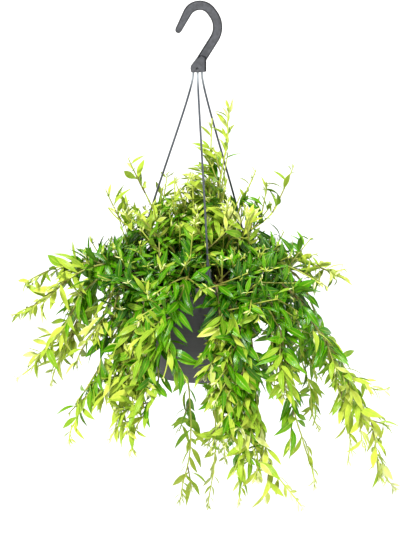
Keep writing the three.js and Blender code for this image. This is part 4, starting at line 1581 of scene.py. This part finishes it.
class Leaf:
    """One leaf: where it grows, its frame, its length and what its finish depends on."""

    def __init__(self, stem, share, seed, sign, crossed, length, spread, freshness):
        draw = [chance(stem.index, seed, k) for k in range(1, 10)]
        self.at = stem.station(share)
        self.sign = sign
        self.roll = LEAF_ROLL * (draw[1] - LEAF_ROLL_BIAS) + crossed
        self.spread = math.radians(spread + SPREAD_VARIETY * (draw[2] - 0.5))
        self.tilt = LEAF_TILT * (2 * draw[3] - 1)
        self.size = length * lerp(LEAST_LEAF, MOST_LEAF, draw[0])
        self.tone = draw[4]
        self.width_by = lerp(*LEAF_WIDTHS, draw[5]) * lerp(1, TIP_WIDTH, share)
        self.width_by *= CROWN_WIDTH if stem.upright else 1
        self.form = int(draw[6] * len(LEAF_FORMS) * BELOW_ONE)
        hanging = lerp(*DROOP, smooth(share / DROOP_SHARE)) * lerp(*DROOP_VARIETY, draw[7])
        self.droop = CROWN_DROOP if stem.upright else hanging
        self.young = min(max(freshness, 0), 1)
        self.set_pose(0, 0)

    def set_pose(self, more_roll, more_spread):
        point, along, side, lift, out = self.at
        roll, spread = self.roll + more_roll, self.spread + more_spread
        sweep = side * (self.sign * math.cos(roll)) + lift * math.sin(roll)
        way = along * math.cos(spread) + sweep * math.sin(spread)
        way = (way - UP * self.droop).normalized()
        face = UP * LIGHT_UP + out * LIGHT_OUT
        face = (face - way * face.dot(way)).normalized()
        self.point, self.way = point, way
        self.face = Matrix.Rotation(self.tilt, 3, way) @ face

    def turn(self):
        """Rotation that brings a blade along +X, facing +Z, to the leaf's own way and face."""
        across = self.face.cross(self.way)
        return Matrix((self.way, across, self.face)).transposed().to_quaternion()

    def is_clear(self, curl):
        """Whether the leaf's middle line is free, with more room kept near its broad part."""
        bend = curl * LEAF_FORMS[self.form][1]
        for u in LEAF_TESTS:
            at = self.point + self.way * (u * self.size) - self.face * (bend * self.size * u * u)
            if not is_free(at, lerp(*LEAF_ROOM, u)) or hides_soil(at) or hides_strand(at) or in_opening(at):
                return False
        return True


def youth_at(stem, share):
    """How young a leaf looks at a share of its stem's length."""
    age = lerp(stem.age, 1, share * (TWIG_YOUTH if stem.age else 1))
    if stem.upright:
        rise = stem.point_at(share).z - RIM_Z - YOUTH_RISE
        age *= lerp(LOW_YOUTH, 1, smooth(rise / YOUTH_RISE_SPAN))
    young = lerp(*YOUTH, age**YOUTH_POWER) + stem.freshness * lerp(*FRESHNESS, age)
    return min(young, lerp(*YOUTH_LIMIT, smooth((age - PALE_TIP) / PALE_SPAN)))


def leaves_of(stem, shares, length, curl):
    """Leaves of a stem that keep clear of the rest: pairs at the given shares, and a tuft at the tip."""
    made = []
    power = CROWN_TIP_POWER if stem.upright else TIP_POWER
    length_by = CROWN_LEAF if stem.upright and not stem.age and not stem.tall else 1
    for k, share in enumerate(shares):
        crossed = CROSSING * (k % 2) * (1 if stem.upright else TRAILING_CROSSING)
        spread = lerp(SPREAD_OLD, SPREAD_YOUNG, share**3) * (CROWN_SPREAD if stem.upright else 1)
        shrunk = lerp(1, TALL_TIP_LEAF, share**3) if stem.tall else lerp(1, TIP_LEAF, share**power)
        young = youth_at(stem, share)
        for sign in (1, -1):
            seed = 2 * k + (sign > 0)
            if chance(stem.index, seed, 20) > LEAF_LOSS:
                full = length * shrunk * length_by
                made.append(Leaf(stem, share, seed, sign, crossed, full, spread, young))
    young = TWIG_TUFT_YOUTH + TWIG_TUFT_GAIN * lerp(stem.age, 1, 0.3) if stem.age else TUFT_YOUTH
    for k, (back, part) in enumerate(TWIG_TUFT if stem.age else TUFT):
        share = max(1 - back / stem.length, 0)
        for sign in (1, -1):
            seed = TUFT_SEED + 2 * k + (sign > 0)
            part *= TALL_TUFT if stem.tall else 1
            made.append(Leaf(stem, share, seed, sign, CROSSING * (k % 2), length * part, TUFT_SPREAD, young))
    kept = []
    for leaf in made:
        for dodge in DODGES:
            leaf.set_pose(*dodge)
            if leaf.is_clear(curl):
                kept.append(leaf)
                break
    return kept


def shoot_leaves(stem, length, curl):
    """Leaves of a main stem: at each of its nodes and half way between them."""
    nodes = stem.leaf_nodes(FIRST_LEAF, LEAF_PITCH)
    shares = []
    for a, b in zip(nodes, nodes[1:]):
        thin = stem.sparse or (a > THIN_FROM and not stem.upright)
        pairs = SPARSE_PAIRS if thin else PAIRS_TO_NODE
        shares += [lerp(a, b, part / pairs) for part in range(pairs)]
    return leaves_of(stem, shares + nodes[-1:], length, curl)


def twig_leaves(twig, length, curl):
    """Leaves of a twig, smaller on the twigs further out on a trailing stem."""
    nodes = twig.leaf_nodes(TWIG_FIRST, TWIG_PITCH)
    full = length * TWIG_LEAF * (1 if twig.upright or twig.fronts else lerp(1, OUTER_TWIG_LEAF, twig.age))
    return leaves_of(twig, nodes, full, curl)


def stem_stations(shoot, nodes):
    """Shares along a stem for its rings, with three at each node, and how much each ring swells."""
    spots = {0.0: 0.0, 1.0: 0.0}
    even = round(shoot.length / RING_SPACING)
    for k in range(1, even):
        spots[k / even] = 0.0
    for node in nodes:
        for offset, swell in NODE_RINGS:
            spots[min(max(node + offset / shoot.length, 0), 1)] = swell
    made = []
    for share in sorted(spots):
        close = made and (share - made[-1][0]) * shoot.length < CLOSEST_RINGS
        if close and spots[share] <= made[-1][1]:
            continue
        if close and made[-1][0] > 0:
            made.pop()
        made.append((share, spots[share]))
    return made


def blade_tree():
    """Geometry Nodes tree for one leaf along +X from the origin, one unit long, facing +Z."""
    g = Shape("leaf_blade", Float=("Slimness", "Thickness", "Curl", "Fold", "Bend"))
    given = g.given
    inputs = {"Vertices": LEAF_SIDES, "Side Segments": LEAF_SEGMENTS, "Fill Segments": 1}
    inputs |= {"Radius": 1.0, "Depth": 1.0}
    solid = g.add("GeometryNodeMeshCylinder", inputs, fill_type="NGON").outputs["Mesh"]
    position = g.add("GeometryNodeInputPosition").outputs[0]
    place = g.add("ShaderNodeSeparateXYZ", {"Vector": position}).outputs
    along = g.plus(place["Z"], 0.5)
    under = g.maths("LESS_THAN", place["Y"], -0.01)
    for name, value in (("along", along), ("across", place["X"]), ("under", under)):
        solid = g.store(solid, name, value, "POINT")
    outline = g.add("ShaderNodeFloatCurve", {"Value": along})
    points = outline.mapping.curves[0].points
    while len(points) < len(LEAF_OUTLINE):
        points.new(0.5, 0.5)
    for point, at in zip(points, LEAF_OUTLINE):
        point.location = at
    outline.mapping.update()
    half = g.times(outline.outputs[0], g.times(given["Slimness"], 0.5))
    square = g.times(along, along)
    wide = g.plus(g.times(place["X"], half), g.times(given["Bend"], square))
    fullness = g.plus(UPPER_FULLNESS, g.times(under, 1 - UPPER_FULLNESS))
    deep = g.times(g.times(place["Y"], fullness), g.times(given["Thickness"], half))
    raised = g.times(g.maths("ABSOLUTE", place["X"]), g.times(given["Fold"], half))
    height = g.minus(g.plus(deep, raised), g.times(given["Curl"], square))
    spot = g.add("ShaderNodeCombineXYZ", {"X": along, "Y": wide, "Z": height}).outputs[0]
    bent = g.add("GeometryNodeSetPosition", {"Geometry": solid, "Position": spot}).outputs[0]
    rounded = g.add("GeometryNodeSetShadeSmooth", {"Geometry": bent}, domain="FACE").outputs[0]
    angle = g.add("GeometryNodeInputMeshEdgeAngle").outputs[0]
    sharp = g.maths("GREATER_THAN", angle, SHARP_LEAF_EDGE)
    inputs = {"Geometry": rounded, "Selection": sharp, "Shade Smooth": False}
    return g.ended(g.add("GeometryNodeSetShadeSmooth", inputs, domain="EDGE").outputs[0])


def shoot_tree():
    """Geometry Nodes tree that sweeps a stem along its line and sets a leaf on each leaf point."""
    blade = blade_tree()
    g = Shape(
        "leafy_shoot",
        Geometry=["Geometry"],
        Float=("Slimness", "Thickness", "Curl", "Fold"),
        Int=["Sides"],
        Material=("Stem material", "Leaf material"),
    )
    given = g.given
    inputs = {"Geometry": given["Geometry"], "Selection": g.read("is_leaf", "BOOLEAN")}
    parts = g.add("GeometryNodeSeparateGeometry", inputs, domain="POINT").outputs
    stem = g.sweep(parts["Inverted"], g.read("thick"))
    stem = g.add("GeometryNodeSetShadeSmooth", {"Geometry": stem}).outputs[0]
    forms = []
    for bend, curl_by in LEAF_FORMS:
        inputs = {name: given[name] for name in ("Slimness", "Thickness", "Fold")}
        inputs |= {"Curl": g.times(given["Curl"], curl_by), "Bend": bend}
        leaf = g.add("GeometryNodeGroup", inputs, node_tree=blade)
        forms.append(g.add("GeometryNodeGeometryToInstance", {"Geometry": leaf.outputs[0]}).outputs[0])
    points = g.add("GeometryNodeMeshToPoints", {"Mesh": parts["Selection"]}).outputs[0]
    inputs = {"Points": points, "Instance": g.joined(*forms), "Pick Instance": True}
    inputs |= {"Instance Index": g.read("form", "INT"), "Rotation": g.read("turn", "QUATERNION")}
    inputs["Scale"] = g.read("size", "FLOAT_VECTOR")
    leaves = g.add("GeometryNodeInstanceOnPoints", inputs).outputs[0]
    leaves = g.realized(leaves, given["Leaf material"])
    return g.ended(g.joined(leaves, g.realized(stem, given["Stem material"])))


def shoot_mesh(name, stem, foliage):
    """Lines of a stem and its twigs and the points of their leaves, with what the tree reads of them."""
    length, curl = foliage.leaf_length / MM, foliage.curl
    leaves = shoot_leaves(stem, length, curl)
    nodes = stem.leaf_nodes(FIRST_LEAF, LEAF_PITCH)
    points, edges, radii, ages = [], [], [], []

    def add_line(line, thick, age):
        edges.extend((len(points) + k, len(points) + k + 1) for k in range(len(line) - 1))
        points.extend(line)
        radii.extend(thick)
        ages.extend(age)

    rings = stem_stations(stem, nodes)
    main = [stem.point_at(0) - UP * STEM_SINK] + [stem.point_at(share) for share, _ in rings]
    thick = [foliage.root_radius]
    for share, swell in rings:
        radius = lerp(foliage.root_radius, foliage.tip_radius, share**TAPER_POWER)
        thick.append(radius * (1 + NODE_SWELL * swell))
    root_age = CROWN_ROOT_AGE if stem.upright else 0
    add_line(main, thick, [0.0] + [lerp(root_age, 1, share) for share, _ in rings])
    for twig in twigs_of(stem):
        leaves += twig_leaves(twig, length, curl)
        shares = [k / TWIG_RINGS for k in range(TWIG_RINGS + 1)]
        thin = [foliage.tip_radius * lerp(*TWIG_THICKNESS, share) for share in shares]
        skin = [lerp(*TWIG_SKIN, share) for share in shares]
        add_line([twig.point_at(share) for share in shares], thin, skin)
    mesh = point_mesh(name, points + [leaf.point for leaf in leaves], edges)
    none, some = len(points), len(leaves)
    store(mesh, "is_leaf", "BOOLEAN", [False] * none + [True] * some)
    store(mesh, "thick", "FLOAT", radii + [0.0] * some)
    store(mesh, "young", "FLOAT", ages + [leaf.young for leaf in leaves])
    store(mesh, "tone", "FLOAT", [0.5] * none + [leaf.tone for leaf in leaves])
    store(mesh, "form", "INT", [0] * none + [leaf.form for leaf in leaves])
    store(mesh, "turn", "QUATERNION", [(1, 0, 0, 0)] * none + [tuple(leaf.turn()) for leaf in leaves])
    sizes = [Vector((1, leaf.width_by, 1)) * (leaf.size * MM) for leaf in leaves]
    store(mesh, "size", "FLOAT_VECTOR", [(0, 0, 0)] * none + [tuple(size) for size in sizes])
    return mesh


class PLANT_OT_shoots(bpy.types.Operator):
    """Make every shoot, a stem with its leaves"""

    bl_idname = "plant.shoots"
    bl_label = "Shoots"

    def execute(self, context):
        noise.seed_set(NOISE_SEED)
        foliage = context.scene.hanging_plant.foliage
        skin = leaf_finish(foliage)
        bark = stem_finish(foliage.bark, foliage.stem_green, foliage.young)
        tree = shoot_tree()
        values = {"Slimness": foliage.slimness, "Thickness": foliage.thickness, "Curl": foliage.curl}
        values |= {"Fold": foliage.fold, "Sides": foliage.sides}
        values |= {"Stem material": bark, "Leaf material": skin}
        stems = [trailing_stem(k, row) for k, row in enumerate(TRAILING)]
        stems += [crown_stem(k, row) for k, row in enumerate(CROWN, len(TRAILING))]
        for stem in stems:
            node = f"shoot_{stem.index + 1:02d}"
            name = "leafy_" + node
            line = add_object(name + "_line", shoot_mesh(name + "_line", stem, foliage))
            run_tree(line, tree, values)
            add_piece(name, settled(line, name), [node])
        return {"FINISHED"}


# Stage

def add_sun(name, azimuth, elevation, softness, strength):
    """Soft even light from an azimuth and an elevation in degrees, with its apparent width in degrees."""
    light = bpy.data.lights.new(name, "SUN")
    light.angle = math.radians(softness)
    light.energy = strength
    lamp = add_object(name, light)
    lamp.rotation_mode = "QUATERNION"
    source = outward(azimuth) + UP * math.tan(math.radians(elevation))
    lamp.rotation_quaternion = (-source).to_track_quat("-Z", "Y")


class PLANT_OT_stage(bpy.types.Operator):
    """Set up the camera, the pale floor, the white surroundings and the soft lights"""

    bl_idname = "plant.stage"
    bl_label = "Stage"

    def execute(self, context):
        scene = context.scene
        stage = scene.hanging_plant.stage
        camera = bpy.data.cameras.new("camera")
        camera.sensor_width = 36
        camera.lens = stage.lens
        viewer = add_object("camera", camera)
        viewer.location = stage.eye
        viewer.rotation_mode = "QUATERNION"
        viewer.rotation_quaternion = (Vector(stage.aim) - Vector(stage.eye)).to_track_quat("-Z", "Y")
        scene.camera = viewer
        bends = [math.radians(FLOOR_RISE) * k / (FLOOR_RINGS - 1) for k in range(FLOOR_RINGS)]
        rings = [
            circle(
                FLOOR_RADIUS + FLOOR_BEND * math.sin(bend),
                stage.floor_z + FLOOR_BEND * (1 - math.cos(bend)),
                FLOOR_SIDES,
            )
            for bend in bends
        ]
        bm = bmesh.new()
        bm.faces.new(add_rings(bm, rings)[0])
        mesh = mesh_from(bm, "floor", 180, unit=1)
        mesh.materials.append(floor_finish(stage.floor_colour))
        add_object("floor", mesh)
        world = bpy.data.worlds.new("studio")
        world.use_nodes = True
        background = next(n for n in world.node_tree.nodes if n.type == "BACKGROUND")
        background.inputs["Color"].default_value = (1, 1, 1, 1)
        background.inputs["Strength"].default_value = stage.sky
        scene.world = world
        for name, azimuth, elevation, softness, part in SUNS:
            add_sun(name, azimuth, elevation, softness, stage.key * part)
        scene.view_settings.view_transform = "Standard"
        return {"FINISHED"}


class PLANT_PT_panel(bpy.types.Panel):
    """Buttons that make the hanging plant"""

    bl_label = "Hanging plant"
    bl_idname = "PLANT_PT_panel"
    bl_space_type = "VIEW_3D"
    bl_region_type = "UI"
    bl_category = "Hanging plant"

    def draw(self, context):
        for operator in OPERATORS:
            self.layout.operator(operator.bl_idname)


OPERATORS = (PLANT_OT_stage, PLANT_OT_pot, PLANT_OT_soil, PLANT_OT_hook, PLANT_OT_strands, PLANT_OT_shoots)
CLASSES = (
    PotSettings,
    HangerSettings,
    FoliageSettings,
    StageSettings,
    PlantSettings,
    *OPERATORS,
    PLANT_PT_panel,
)


def register():
    for cls in CLASSES:
        bpy.utils.register_class(cls)
    bpy.types.Scene.hanging_plant = PointerProperty(type=PlantSettings)


def unregister():
    del bpy.types.Scene.hanging_plant
    for cls in reversed(CLASSES):
        bpy.utils.unregister_class(cls)


def main():
    register()
    bpy.ops.plant.stage()
    bpy.ops.plant.pot()
    bpy.ops.plant.soil()
    bpy.ops.plant.hook()
    bpy.ops.plant.strands()
    bpy.ops.plant.shoots()
    bpy.context.view_layer.update()


if __name__ == "__main__":
    main()
